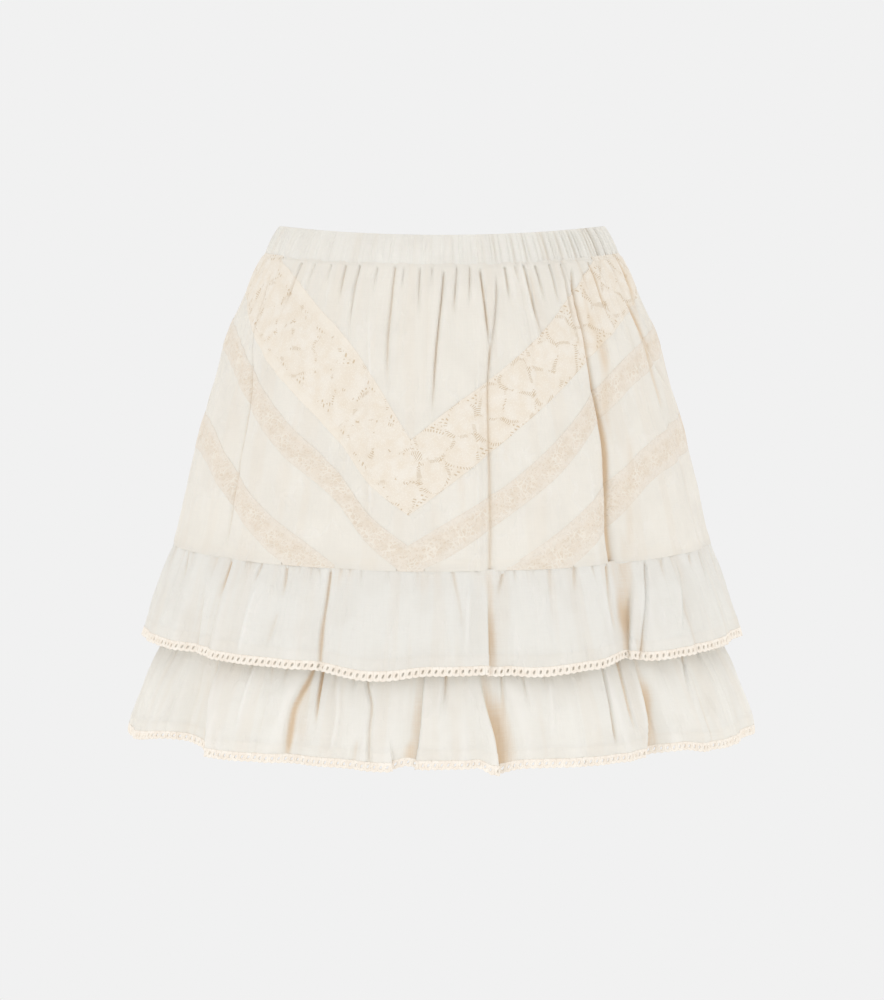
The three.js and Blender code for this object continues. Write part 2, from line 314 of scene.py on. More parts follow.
BAND_TOP = 13.0
BAND_BASE = -12.0
BODY_TOP = -12.3
BODY_BASE = -232.0
UPPER_TOP = -232.3
UPPER_HEM = -297.0
UPPER_EDGE_BASE = -303.6
UNDER_BASE = -292.0
LOWER_TOP = -292.3
LOWER_HEM = -373.4
LOWER_EDGE_BASE = -380.0
BACK_SAG = 1.1
CASING_SEAM = -9.2
UNDERLAP = 1.5
FRONT_REACH = 84.0

# Rows of a form: height, half the width, the depth over the width, the sag at the centre front
UPPER_FORM = (
    (13.0, 126.5, 0.74, 6.4),
    (-4.0, 135.0, 0.74, 6.4),
    (-21.5, 144.7, 0.735, 6.4),
    (-40.0, 152.5, 0.73, 6.4),
    (-68.0, 165.4, 0.72, 6.4),
    (-106.0, 176.3, 0.715, 6.4),
    (-153.0, 190.3, 0.705, 6.4),
    (-190.0, 199.0, 0.7, 6.4),
    (-232.0, 209.0, 0.7, 6.4),
    (-250.0, 216.5, 0.7, 7.5),
    (-280.0, 227.0, 0.7, 9.0),
    (-303.6, 234.0, 0.7, 10.0),
)
LOWER_FORM = (
    (-232.0, 203.7, 0.691, 6.4),
    (-262.0, 205.4, 0.692, 6.4),
    (-292.0, 210.0, 0.696, 6.0),
    (-313.0, 220.0, 0.7, 5.0),
    (-331.0, 229.0, 0.7, 4.0),
    (-350.0, 236.7, 0.7, 2.5),
    (-368.0, 243.0, 0.7, 1.0),
    (-380.0, 245.0, 0.7, 1.0),
)

GREAT_FOLDS = (
    GreatFold(-60, -55, -58, 9, 4, 12, -0.35),
    GreatFold(-38, -40, -42, 10, -2, -4, 0),
    GreatFold(-21, -19, -26, 7, 4, 9, 0.3),
    GreatFold(-8, -9, -12, 8, -3, -6, 0),
    GreatFold(15, 10.3, 9.5, 6, 3.6, 9.5, 0.4),
    GreatFold(30, 24, 24, 10, -3, -6, 0),
    GreatFold(46, 41, 42, 8, 8, 13, 0.4),
    GreatFold(68, 78, 76, 8, 4, 8, 0.2),
    GreatFold(112, 113, 112, 8, 5, 11, -0.3),
    GreatFold(139, 141, 144, 8, 5, 10, 0.3),
    GreatFold(163, 166, 164, 7, 4, 9, -0.2),
    GreatFold(-172, -170, -168, 7, 3, 8, 0.3),
    GreatFold(-148, -147, -145, 8, 6, 10, 0.2),
    GreatFold(-118, -116, -119, 8, 5, 11, -0.3),
)

# The gathers' share of their depth round the waist: calm at the left front, strong at the right
WAIST_CALM = ((-180, 0.8), (-140, 1.0), (-100, 0.9), (-68, 0.7), (-50, 0.3), (-25, 0.3), (-8, 0.5), (8, 0.7),
              (30, 0.85), (55, 1.1), (85, 1.0), (120, 0.7), (150, 0.9), (180, 0.8))
BAND_CALM = ((-180, 0.9), (-120, 1.0), (-80, 0.8), (-55, 0.45), (-25, 0.4), (0, 0.6), (20, 0.9), (38, 1.4),
             (52, 1.9), (75, 1.9), (100, 1.1), (150, 0.9), (180, 0.9))
BODY_CALM = ((-180, 0.7), (-140, 0.9), (-100, 0.8), (-68, 0.5), (-45, 0.25), (-20, 0.4), (-5, 0.6), (15, 0.8),
             (40, 0.9), (60, 0.9), (90, 0.8), (120, 0.6), (150, 0.8), (180, 0.7))
RUFFLE_CALM = ((-180, 0.6), (-130, 0.75), (-90, 0.6), (-60, 0.5), (-30, 0.5), (-15, 0.15), (0, 0.25), (20, 0.4),
               (45, 0.6), (90, 0.7), (130, 0.55), (180, 0.6))

BODY_CREASES = (
    Crease(((-12, -65), (-41, -63), (-115, -55), (-204, -53), (-232, -53)), 1.5, 1.8, (0.1, 0.9), -0.5, 0.4),
    Crease(((-12, -49), (-60, -50)), 1.4, 2.6, (0, 0.3), 0.2),
    Crease(((-12, -43), (-38, -43)), 1.0, 1.6),
    Crease(((-12, -36.5), (-30, -36)), 0.9, 1.5),
    Crease(((-12, -31), (-48, -30.5)), 1.0, 2.5, (0, 0.2)),
    Crease(((-12, -26), (-40, -26), (-80, -24)), 1.0, 2.6, (0, 0.2), 0.2),
    Crease(((-12, -22), (-87, -17.6), (-145, -15.9), (-210, -14.6)), 2.2, -1.9, (0.4, 0.8), 0.35, 0.2),
    Crease(((-12, -20), (-38, -20.4)), 0.9, 2.0),
    Crease(((-12, -14.6), (-60, -14.4), (-120, -13)), 1.3, 2.5, (0, 0.4), -0.2),
    Crease(((-12, -11.5), (-36, -12)), 0.8, 1.8),
    Crease(((-12, -6.8), (-58, -6.4)), 1.1, 2.4, (0, 0.2)),
    Crease(((-12, -3), (-30, -3.5)), 0.8, 1.7),
    Crease(((-12, 0.8), (-28, 0.3), (-72, -1.3), (-132, -2.3)), 1.4, 3.4, (0.05, 0.6), 0.35, 0.3),
    Crease(((-12, 4.6), (-58, 2.4)), 1.1, 2.5, (0, 0.3)),
    Crease(((-12, 8.6), (-50, 7)), 0.9, 2.0),
    Crease(((-12, 11.4), (-60, 12), (-92, 11.4)), 1.3, 3.2, (0.05, 0.5), -0.3, 0.3),
    Crease(((-12, 16.8), (-36, 15.7), (-86, 11.9), (-130, 11.1), (-181, 10.8), (-232, 10.2)), 1.3, 2.6, (0.08, 1), 0.35, 0.9),
    Crease(((-60, 9.4), (-130, 8.4), (-232, 7.4)), 1.4, -1.7, (0.3, 1), 0, 0.4),
    Crease(((-12, 19.6), (-44, 19.4)), 1.0, 3.0, (0, 0.3)),
    Crease(((-12, 23), (-32, 23.2)), 0.8, 1.8),
    Crease(((-12, 25.8), (-76, 27)), 1.2, 3.0, (0, 0.45), -0.2, 0.2),
    Crease(((-12, 30), (-48, 30.5)), 1.0, 2.6, (0, 0.3)),
    Crease(((-12, 35), (-52, 35)), 1.1, 2.6, (0, 0.3)),
    Crease(((-12, 39.8), (-52, 38.5), (-84, 37.2)), 1.3, 2.8, (0, 0.3), 0.2, 0.3),
    Crease(((-12, 44), (-31, 41.9), (-72, 40.8), (-112, 41.3), (-150, 41.4), (-201, 39.1), (-232, 38.6)), 1.9, 4.2, (0.05, 1), 0.42, 0.7),
    Crease(((-12, 52), (-64, 52.5)), 1.5, 2.6, (0, 0.3)),
    Crease(((-12, 58), (-40, 58.5)), 1.3, 1.5),
    Crease(((-12, 64.5), (-80, 66)), 1.7, 2.6, (0, 0.4), -0.2),
    Crease(((-12, 67), (-72, 69), (-112, 80), (-153, 87), (-220, 91)), 3.2, 3.0, (0.2, 0.8), 0.3),
    Crease(((-12, 75), (-56, 76)), 1.5, 2.0, (0, 0.2)),
    Crease(((-12, 96), (-90, 99)), 1.7, 2.4, (0, 0.4), 0.2),
    Crease(((-12, 105), (-50, 104)), 1.2, 1.2),
    Crease(((-12, 118), (-110, 121), (-190, 120)), 1.8, 3.4, (0.05, 0.5), -0.3),
    Crease(((-12, 130), (-56, 131)), 1.3, 1.8, (0, 0.3)),
    Crease(((-12, 141), (-90, 143)), 1.5, 2.6, (0, 0.4), 0.3),
    Crease(((-12, 152), (-44, 152)), 1.1, 1.1),
    Crease(((-12, 160), (-130, 157), (-200, 158)), 1.6, 3.2, (0.05, 0.6), 0.3),
    Crease(((-12, 170), (-60, 171)), 1.2, 1.6, (0, 0.2)),
    Crease(((-12, 178.5), (-46, 179)), 1.1, 1.0),
    Crease(((-12, -173), (-84, -175)), 1.4, 2.4, (0, 0.4), -0.2),
    Crease(((-12, -163), (-50, -162)), 1.1, 1.3),
    Crease(((-12, -152), (-120, -155), (-206, -154)), 1.7, 3.6, (0.05, 0.6), 0.3),
    Crease(((-12, -141), (-60, -140)), 1.2, 1.7, (0, 0.3)),
    Crease(((-12, -131), (-96, -133)), 1.5, 2.5, (0, 0.4), -0.3),
    Crease(((-12, -119), (-48, -119)), 1.1, 1.2),
    Crease(((-12, -108), (-124, -104), (-200, -103)), 2.0, 3.2, (0.05, 0.5), -0.3),
    Crease(((-12, -96), (-62, -97)), 1.3, 1.8, (0, 0.2)),
    Crease(((-12, -86), (-84, -84)), 1.6, 2.2, (0, 0.3), 0.2),
    Crease(((-12, -76), (-52, -76)), 1.3, 1.6),
)

# Painted shade only: stretches where a fold's back lies behind the cloth
BODY_UNDERLAY_SHADES = (
    UnderlayShade(((-4, 47.6), (-25, 46), (-45, 44.6), (-70, 44.6), (-100, 45)), 3.4, 2.2),
    UnderlayShade(((-40, 48), (-76, 47), (-95, 45.2), (-113, 43.6), (-140, 41.9), (-172, 39.7), (-205, 38.6)), 3.0, 2.2),
    UnderlayShade(((-110, 50), (-143, 48.7), (-187, 45.2), (-216, 43.2), (-260, 40.5)), 3.2, 1.9),
    UnderlayShade(((4, 80), (-32, 75), (-56, 68), (-90, 65)), 6.0, 2.5),
    UnderlayShade(((-60, 66), (-86, 68), (-103, 67), (-135, 69)), 4.6, 2.4),
    UnderlayShade(((-2, 54), (-30, 52.5), (-60, 50.5)), 3.6, 1.8),
    UnderlayShade(((-12, 88), (-60, 88), (-150, 88), (-236, 89)), 7.0, 2.4),
    UnderlayShade(((-12, 27), (-30, 27.5), (-48, 27.5)), 2.2, 1.0),
    UnderlayShade(((-12, 11), (-40, 12.5), (-66, 12.5)), 1.8, 1.0),
    UnderlayShade(((-100, 14.4), (-138, 15), (-170, 13.6)), 2.4, 1.3),
    UnderlayShade(((-145, 3.2), (-172, 4.2), (-205, 4.4)), 2.4, 1.4),
    UnderlayShade(((-60, 160), (-110, 159), (-170, 160)), 3.2, 2.4),
    UnderlayShade(((-50, -153), (-110, -155), (-180, -155)), 3.2, 2.6),
    UnderlayShade(((-30, 121), (-90, 122), (-150, 121)), 3.4, 2.2),
    UnderlayShade(((-60, -104), (-110, -103), (-170, -103)), 3.4, 2.2),
)

UPPER_UNDERLAY_SHADES = (
    UnderlayShade(((-214, 43.4), (-245, 40.6), (-262, 39), (-290, 38.4)), 2.6, 1.4),
    UnderlayShade(((-262, 40), (-288, 40.6), (-318, 42)), 2.4, 1.3),
    UnderlayShade(((-222, 9.8), (-245, 9.4), (-300, 9.1)), 1.5, 1.3),
    UnderlayShade(((-250, 143.5), (-280, 145), (-318, 146)), 2.6, 1.6),
    UnderlayShade(((-250, -149), (-280, -148.5), (-318, -148)), 2.6, 1.6),
)
LOWER_UNDERLAY_SHADES = (
    UnderlayShade(((-280, 48.5), (-311, 46.4), (-329, 44.2), (-356, 42.6)), 2.6, 1.5),
    UnderlayShade(((-316, 10.8), (-345, 11.9), (-398, 12.8)), 2.6, 1.5),
    UnderlayShade(((-306, -26), (-340, -27.8), (-372, -28)), 2.2, 1.8),
    UnderlayShade(((-356, -6.0), (-372, -6.2), (-392, -6.4)), 2.0, 1.6),
    UnderlayShade(((-330, 143), (-352, 144.5), (-398, 146)), 2.8, 2.0),
    UnderlayShade(((-330, -149), (-352, -148), (-398, -147)), 2.8, 2.0),
)

UPPER_CREASES = (
    Crease(((-232, -67.5), (-250, -65.5), (-262, -66.5)), 1.3, 2.2, (0, 0.3)),
    Crease(((-232, -49.5), (-248, -49.8), (-268, -51.2)), 1.3, 2.3, (0, 0.3)),
    Crease(((-232, -44), (-244, -44)), 1.0, 1.0),
    Crease(((-232, -39.5), (-241, -40), (-256, -41)), 1.1, 1.7, (0, 0.2)),
    Crease(((-240, -38.2), (-266, -39.5), (-297, -39.8)), 1.9, -2.0, (0.3, 0.8), 0.3, 0.3),
    Crease(((-232, -33.3), (-250, -32.9), (-262, -33.5)), 1.1, 1.9, (0, 0.3)),
    Crease(((-260, -32.9), (-292, -34.6)), 1.6, 1.6, (0.3, 0.7)),
    Crease(((-232, -30), (-243, -30)), 0.9, 0.9),
    Crease(((-232, -27.4), (-247, -27.3)), 0.9, 1.2),
    Crease(((-232, -25.8), (-249, -24.4)), 0.9, 1.3),
    Crease(((-232, -23.1), (-254, -23), (-275, -23.1), (-304, -22.6)), 1.1, 2.8, (0.05, 1), 0.35, 1.1),
    Crease(((-232, -20.9), (-242, -21.2)), 0.8, 0.9),
    Crease(((-232, -19), (-240, -19)), 0.8, 0.7),
    Crease(((-232, -16.4), (-248, -16.3)), 0.9, 1.1),
    Crease(((-232, -11), (-241, -11)), 0.9, 0.5),
    Crease(((-232, -5), (-244, -5)), 0.9, 0.6),
    Crease(((-232, 2.2), (-255, 3.5), (-284, 4.6)), 1.5, 1.6, (0, 0.4), 0.2),
    Crease(((-236, 5.8), (-265, 4.8), (-290, 4.4)), 1.2, -1.4, (0.2, 0.7)),
    Crease(((-232, 12.5), (-254, 10.6)), 0.9, 1.8, (0, 0.3)),
    Crease(((-232, 14.7), (-248, 14.8)), 0.9, 1.2),
    Crease(((-232, 18.5), (-242, 18.6)), 0.9, 0.8),
    Crease(((-232, 22.1), (-267, 21.1), (-290, 20.6)), 1.5, 1.5, (0, 0.3)),
    Crease(((-232, 27.8), (-262, 25.7)), 1.3, 1.3, (0, 0.3)),
    Crease(((-232, 32), (-246, 32)), 1.0, 1.2),
    Crease(((-232, 36.5), (-257, 35.1), (-286, 35.7)), 1.5, 2.6, (0, 0.7), 0.2),
    Crease(((-232, 46.5), (-260, 44), (-304, 40.2)), 0.9, 2.6, (0.05, 1), -0.3, 0.4),
    Crease(((-232, 52), (-246, 51)), 1.0, 1.4),
    Crease(((-232, 64), (-250, 62)), 1.2, 1.5),
    Crease(((-232, 70), (-248, 68.6), (-268, 67)), 1.3, 2.4, (0, 0.3)),
    Crease(((-232, 82), (-262, 80)), 1.4, 2.0, (0, 0.3)),
    Crease(((-232, 92), (-258, 93), (-304, 95)), 1.6, 3.6, (0.05, 0.9), 0.3, 0.8),
    Crease(((-232, 101), (-250, 101)), 1.1, 1.5),
    Crease(((-232, 110), (-268, 109)), 1.3, 2.2, (0, 0.3)),
    Crease(((-232, 119), (-247, 120)), 1.0, 1.2),
    Crease(((-232, 126), (-270, 128), (-304, 128)), 1.6, 4.2, (0.05, 1), -0.3, 0.8),
    Crease(((-232, 137), (-253, 136)), 1.1, 1.7),
    Crease(((-232, 149), (-262, 150)), 1.2, 2.0, (0, 0.4)),
    Crease(((-232, 157), (-246, 157)), 0.9, 1.0),
    Crease(((-232, 168), (-274, 167), (-304, 168)), 1.5, 3.8, (0.05, 0.9), 0.3, 0.8),
    Crease(((-232, 176), (-249, 176)), 1.0, 1.4),
    Crease(((-232, -174), (-264, -173)), 1.2, 2.0, (0, 0.3)),
    Crease(((-232, -164), (-250, -164)), 1.0, 1.3),
    Crease(((-232, -156), (-262, -157), (-304, -158)), 1.6, 4.0, (0.05, 0.9), -0.3, 0.8),
    Crease(((-232, -143), (-248, -143)), 1.0, 1.2),
    Crease(((-232, -134), (-268, -133)), 1.3, 2.4, (0, 0.4), 0.2),
    Crease(((-232, -124), (-246, -124)), 1.0, 1.1),
    Crease(((-232, -112), (-272, -110), (-304, -110)), 1.6, 4.2, (0.05, 1), 0.3, 0.8),
    Crease(((-232, -101), (-252, -101)), 1.1, 1.7),
    Crease(((-232, -91), (-260, -92)), 1.3, 2.1, (0, 0.3)),
    Crease(((-232, -80), (-250, -79)), 1.2, 1.7),
)
UPPER_LAPS = (
    Lap(((-232, -58.5), (-256, -56), (-292, -54), (-304, -53.5)), -1, 3, 7, full=(0.6, 1.0)),
    Lap(((-232, 9.4), (-259, 8.9), (-304, 8.5)), 1, 4.5, 4, 1.2, 0.45, (0.7, 1.0)),
    Lap(((-232, 43.6), (-259, 41), (-304, 37.9)), -1, 5, 7, 1.3, 0.45, (0.7, 1.0)),
    Lap(((-232, 57.6), (-257, 55.6), (-290, 51.4)), 1, 2.2, 5, 1.2, 0.6, (0.3, 0.7)),
    Lap(((-232, 142), (-304, 144)), 1, 8, 7, full=(0.3, 1.0)),
    Lap(((-232, -148), (-304, -147)), -1, 7, 8, full=(0.3, 1.0)),
    Lap(((-232, -122), (-304, -119)), 1, 6, 7, full=(0.4, 1.0)),
)
UPPER_DROPS = (
    Drop(-13, 12, 4.5),
    Drop(20, 10, 2.5, 0.2),
    Drop(36, 7, -3.5),
    Drop(10, 3, 2),
    Drop(-100, 14, 3),
    Drop(108, 12, -2.5),
    Drop(155, 14, 3.5),
    Drop(-160, 12, -2.5),
)

LOWER_CREASES = (
    Crease(((-292, -73), (-312, -73)), 1.2, 1.6),
    Crease(((-292, -68.5), (-310, -68.7), (-328, -70.2)), 1.2, 2.4, (0, 0.4)),
    Crease(((-292, -62), (-312, -62)), 1.0, 1.4),
    Crease(((-292, -56), (-306, -56)), 1.0, 1.2),
    Crease(((-292, -45), (-308, -45.1), (-322, -46)), 1.1, 1.9, (0, 0.4)),
    Crease(((-292, -40.4), (-324, -39.5)), 1.0, 1.6, (0, 0.3)),
    Crease(((-300, -38.6), (-330, -39), (-352, -39)), 1.8, -2.0, (0.3, 0.8), 0.3, 0.3),
    Crease(((-292, -35.8), (-325, -34.8)), 1.0, 1.7, (0, 0.4)),
    Crease(((-292, -31.8), (-330, -31.9)), 1.1, 2.0, (0, 0.4)),
    Crease(((-292, -25.5), (-315, -26.4), (-335, -28), (-350, -28.2), (-380, -28.1)), 1.9, 3.6, (0.15, 0.85), 0.35, 0.5),
    Crease(((-292, -24.6), (-314, -24.3), (-334, -23.9), (-360, -23.3)), 1.0, 4.0, (0.1, 0.5), -0.2, 0.3),
    Crease(((-292, -21.5), (-340, -20.4)), 1.0, 1.7, (0, 0.4)),
    Crease(((-310, -20.4), (-340, -19.1), (-372, -19.6)), 1.5, -2.2, (0.3, 0.8), 0, 0.2),
    Crease(((-292, -17.2), (-332, -16.8)), 0.9, 1.7, (0, 0.3)),
    Crease(((-292, -14.2), (-317, -13.9), (-332, -12.7), (-351, -12.6), (-380, -12.1)), 1.2, 2.9, (0.1, 0.9), 0.3, 0.5),
    Crease(((-350, -14.6), (-380, -15.4)), 1.7, 2.4, (0.5, 1)),
    Crease(((-292, -8.6), (-312, -8.6)), 0.9, 1.0),
    Crease(((-292, 0.9), (-318, 0.8), (-335, 0.2), (-350, -1)), 1.2, 2.8, (0, 0.5), 0.25),
    Crease(((-292, 4.5), (-330, 4.6)), 0.9, 1.4, (0, 0.3)),
    Crease(((-292, 11.8), (-345, 11.4)), 0.9, 2.4, (0, 0.5)),
    Crease(((-292, 15.9), (-320, 15.9), (-342, 16.7)), 1.0, 2.2, (0, 0.5), 0.2),
    Crease(((-292, 20.2), (-332, 19.5)), 1.0, 1.7, (0, 0.3)),
    Crease(((-304, 21.2), (-360, 19.4)), 1.5, -1.6, (0.3, 0.8)),
    Crease(((-292, 27.2), (-326, 26.8)), 1.0, 1.5, (0, 0.3)),
    Crease(((-292, 33.5), (-314, 33.2), (-340, 32.6), (-372, 32.1)), 0.9, 2.9, (0.1, 0.8), 0.35, 0.3),
    Crease(((-292, 38.4), (-342, 37.5), (-366, 37.5)), 1.3, 2.6, (0.1, 0.7), -0.2),
    Crease(((-292, 49), (-312, 48)), 1.1, 1.4),
    Crease(((-292, 57), (-308, 56.7), (-326, 54.4), (-344, 53.5)), 1.1, 3.0, (0, 0.5), -0.2),
    Crease(((-292, 63.5), (-307, 63.2), (-326, 59.6)), 1.1, 2.2, (0, 0.4)),
    Crease(((-292, 73), (-309, 73), (-324, 70)), 1.2, 2.0, (0, 0.4)),
    Crease(((-334, 58.4), (-362, 62)), 1.3, 1.6, (0.4, 0.6)),
    Crease(((-292, 83), (-330, 84), (-380, 86)), 1.5, 3.2, (0.1, 0.8), 0.3, 0.6),
    Crease(((-292, 94), (-318, 94)), 1.1, 1.8),
    Crease(((-292, 104), (-342, 103)), 1.2, 2.5, (0, 0.4)),
    Crease(((-292, 116), (-312, 116)), 1.0, 1.4),
    Crease(((-292, 124), (-340, 126), (-380, 126)), 1.5, 4.6, (0.1, 0.9), -0.3, 0.6),
    Crease(((-292, 134), (-320, 134)), 1.0, 1.8),
    Crease(((-292, 147), (-344, 148)), 1.2, 2.6, (0, 0.5), 0.2),
    Crease(((-292, 156), (-314, 156)), 0.9, 1.4),
    Crease(((-292, 164), (-336, 163), (-380, 164)), 1.5, 4.4, (0.1, 0.9), 0.3, 0.6),
    Crease(((-292, 174), (-316, 174)), 1.0, 1.6),
    Crease(((-292, -176), (-350, -175)), 1.2, 2.7, (0, 0.5)),
    Crease(((-292, -165), (-314, -165)), 1.0, 1.5),
    Crease(((-292, -157), (-338, -158), (-380, -159)), 1.4, 4.2, (0.1, 0.9), -0.3, 0.6),
    Crease(((-292, -146), (-320, -146)), 1.0, 1.7),
    Crease(((-292, -134), (-346, -133)), 1.2, 2.5, (0, 0.5)),
    Crease(((-292, -124), (-312, -124)), 1.0, 1.3),
    Crease(((-292, -113), (-338, -111), (-380, -110)), 1.5, 4.4, (0.1, 0.9), 0.3, 0.6),
    Crease(((-292, -102), (-318, -102)), 1.0, 1.7),
    Crease(((-292, -93), (-340, -94)), 1.3, 2.4, (0, 0.4)),
    Crease(((-292, -82), (-318, -81)), 1.1, 1.8),
)
LOWER_LAPS = (
    Lap(((-292, -51.5), (-310, -51.7), (-339, -49.2), (-367, -46.6), (-380, -46.2)), -1, 12, 20, 1.5, 0.4, (0.9, 1.0)),
    Lap(((-350, -9.0), (-364, -8.8), (-380, -8.6)), 1, 3, 3, 1.2, 0.5, (0.8, 1.0)),
    Lap(((-292, -3.2), (-313, -3.4), (-343, -3.6), (-380, -4.4)), -1, 2.6, 2.0, 1.0, 0.5, (0.4, 1.0)),
    Lap(((-292, 7), (-317, 7.6), (-335, 8.4), (-355, 9.5), (-380, 10)), 1, 7, 5, 1.3, 0.45, (0.7, 1.0)),
    Lap(((-292, 42.4), (-310, 42.2), (-336, 42), (-355, 41.6), (-380, 39.6)), 1, 7, 7, 1.3, 0.45, (0.7, 1.0)),
    Lap(((-292, 112), (-380, 110)), -1, 12, 10, full=(0.9, 1.0)),
    Lap(((-292, 140), (-380, 144)), 1, 9, 8, full=(0.7, 1.0)),
    Lap(((-292, -150), (-380, -147)), -1, 10, 8, full=(0.7, 1.0)),
    Lap(((-292, -119), (-380, -122)), 1, 9, 9, full=(0.8, 1.0)),
)
LOWER_DROPS = (
    Drop(-60, 16, -6),
    Drop(-10, 9, 1.5),
    Drop(11, 5, 6, 0.3),
    Drop(47, 8, -4),
    Drop(-6.4, 3, -3),
    Drop(100, 12, 3),
    Drop(150, 12, -3),
    Drop(-135, 12, 3),
    Drop(-168, 10, -2.5),
)


@dataclass(frozen=True)
class Tier:
    """A gathered ring of cloth: its form, its gathers and the folds that lie in it."""

    form: tuple[tuple[float, ...], ...]
    top: float
    base: float
    gathers: Array
    depth_top: float
    depth_base: float
    fade: float
    merge: float
    calm: tuple[tuple[float, float], ...] = ((-180, 1.0), (180, 1.0))
    creases: tuple[Crease, ...] = ()
    laps: tuple[Lap, ...] = ()
    drops: tuple[Drop, ...] = ()
    rumple: float = 0.0
    underlay_shades: tuple[UnderlayShade, ...] = ()

    def gather_depth(self, angle: Array, z: Array) -> Array:
        """How deep the gathers are: 0 on a crest, between two troughs, along a rounded arch.

        Args:
            angle: Angles round the body.
            z: Heights.

        Returns:
            The depth in millimetres.
        """
        list_ = self.gathers
        count = len(list_)
        turned = wrapped(angle)
        turned = np.where(turned < list_[0], turned + FULL_TURN, turned)
        k = np.clip(np.searchsorted(list_, turned, side="right") - 1, 0, count - 1)
        following = np.where(k + 1 < count, list_[(k + 1) % count], list_[0] + FULL_TURN)
        phase = np.clip((turned - list_[k]) / (following - list_[k]), 0, 1)
        down = np.clip((self.top - z) / (self.top - self.base), 0, 1)
        nearer = np.where(phase < 0.5, k, (k + 1) % count)
        own = np.where(nearer % 2 == 1, 1, 1 - self.merge * down)
        size = self.depth_top + (self.depth_base - self.depth_top) * down**self.fade
        share = read_table(self.calm, 1, wrapped(angle))
        return size * own * share * (1 - np.sin(np.pi * phase) ** 0.7)

    def ripple(self, angle: Array, z: Array) -> Array:
        """Soft unevenness of unpressed cotton: two products of slanting sine waves."""
        slow = np.sin(0.47 * angle + 0.050 * z + 1.7 * np.sin(0.13 * angle)) * np.sin(0.061 * z - 0.21 * angle)
        quick = np.sin(1.13 * angle - 0.082 * z + 1.3 * np.sin(0.29 * angle)) * np.sin(0.117 * z + 0.37 * angle)
        return self.rumple * (slow + 0.45 * quick)

    def folded(self, angle: Array, z: Array) -> tuple[Array, Array, Array]:
        """Where the folds move the cloth.

        Args:
            angle: Angles round the body.
            z: Heights.

        Returns:
            The turned angle, the inset and the fall of the hem.
        """
        inset = self.gather_depth(angle, z)
        for great in GREAT_FOLDS:
            inset = inset + great.depth(angle, z)
        for crease in self.creases:
            inset = inset + crease.inset(angle, z)
        inset = inset + self.ripple(angle, z)
        turned = angle
        for lap in self.laps:
            shift, step = lap.fold(angle, z)
            turned = turned + shift
            inset = inset + step
        fall = np.zeros_like(angle)
        for drop in self.drops:
            fall = fall + drop.amount(angle)
        down = np.clip((self.top - z) / (self.top - self.base), 0, 1)
        return turned, inset, fall * down**1.5

    def point(self, angle: Array, z: Array) -> Array:
        """Points of the cloth: on the form's oval, moved in by the folds, with the oval's own sag.

        Args:
            angle: Angles round the body.
            z: Heights.

        Returns:
            Points in millimetres, with one more axis than the angles.
        """
        angle, z = np.broadcast_arrays(np.asarray(angle, float), np.asarray(z, float))
        turned, inset, fall = self.folded(angle, z)
        half = read_table(self.form, 1, z)
        deep = half * read_table(self.form, 2, z)
        s, c = np.sin(np.radians(turned)), np.cos(np.radians(turned))
        nx, ny = s / half, -c / deep
        long = np.hypot(nx, ny)
        sag = read_table(self.form, 3, z) + np.where(c < 0, BACK_SAG, 0)
        return np.stack(
            (half * s - nx / long * inset, -deep * c - ny / long * inset, z - sag * c**2 - fall), axis=-1
        )

    def outward(self, angle: Array, z: Array) -> Array:
        """Unit normals of the cloth, from the cross product of its two directions."""
        side = self.point(angle + 0.12, z) - self.point(angle - 0.12, z)
        up = self.point(angle, z + 0.4) - self.point(angle, z - 0.4)
        normal = np.cross(side, up)
        return normal / np.maximum(np.linalg.norm(normal, axis=-1, keepdims=True), 1e-9)

    def raised(self, angle: Array, z: Array, height: Array) -> Array:
        """Points that stand above the cloth by a height along its normal."""
        return self.point(angle, z) + self.outward(angle, z) * np.asarray(height)[..., None]

    def hollow(self, angle: Array, z: Array) -> Array:
        """How far the cloth lies back behind its neighbourhood, for the painted shade of a fold's depth and the painted
        highlight on a ridge.

        The inset is compared with a mean of it beside the place, where the nearest count most, and
        the underlay shades, which are painted shade only, are added.

        Args:
            angle: Angles round the body.
            z: Heights.

        Returns:
            The depth below the neighbours in millimetres, below 0 where the cloth stands out.
        """
        beside = np.zeros_like(angle)
        for step, share in HOLLOW_REACH:
            pair = self.folded(angle - step, z)[1] + self.folded(angle + step, z)[1]
            beside = beside + share * pair / 2
        deep = self.folded(angle, z)[1] - beside
        for underlay_shade in self.underlay_shades:
            deep = deep + underlay_shade.depth(angle, z)
        return deep

    def arc(self, angle: Array) -> Array:
        """The length round the tier's form at its middle, from the centre front, in millimetres."""
        z = (self.top + self.base) / 2
        half = read_table(self.form, 1, np.array([z]))[0]
        deep = half * read_table(self.form, 2, np.array([z]))[0]
        grid = np.linspace(-FULL_TURN, FULL_TURN * 1.5, 3001)
        steps = np.hypot(np.diff(half * np.sin(np.radians(grid))), np.diff(deep * np.cos(np.radians(grid))))
        run = np.concatenate(([0], np.cumsum(steps)))
        return np.interp(angle, grid, run - np.interp(0, grid, run))


WAIST_GATHERS = gather_angles(56, 0.6)
LOWER_GATHERS = gather_angles(48, 4.1)

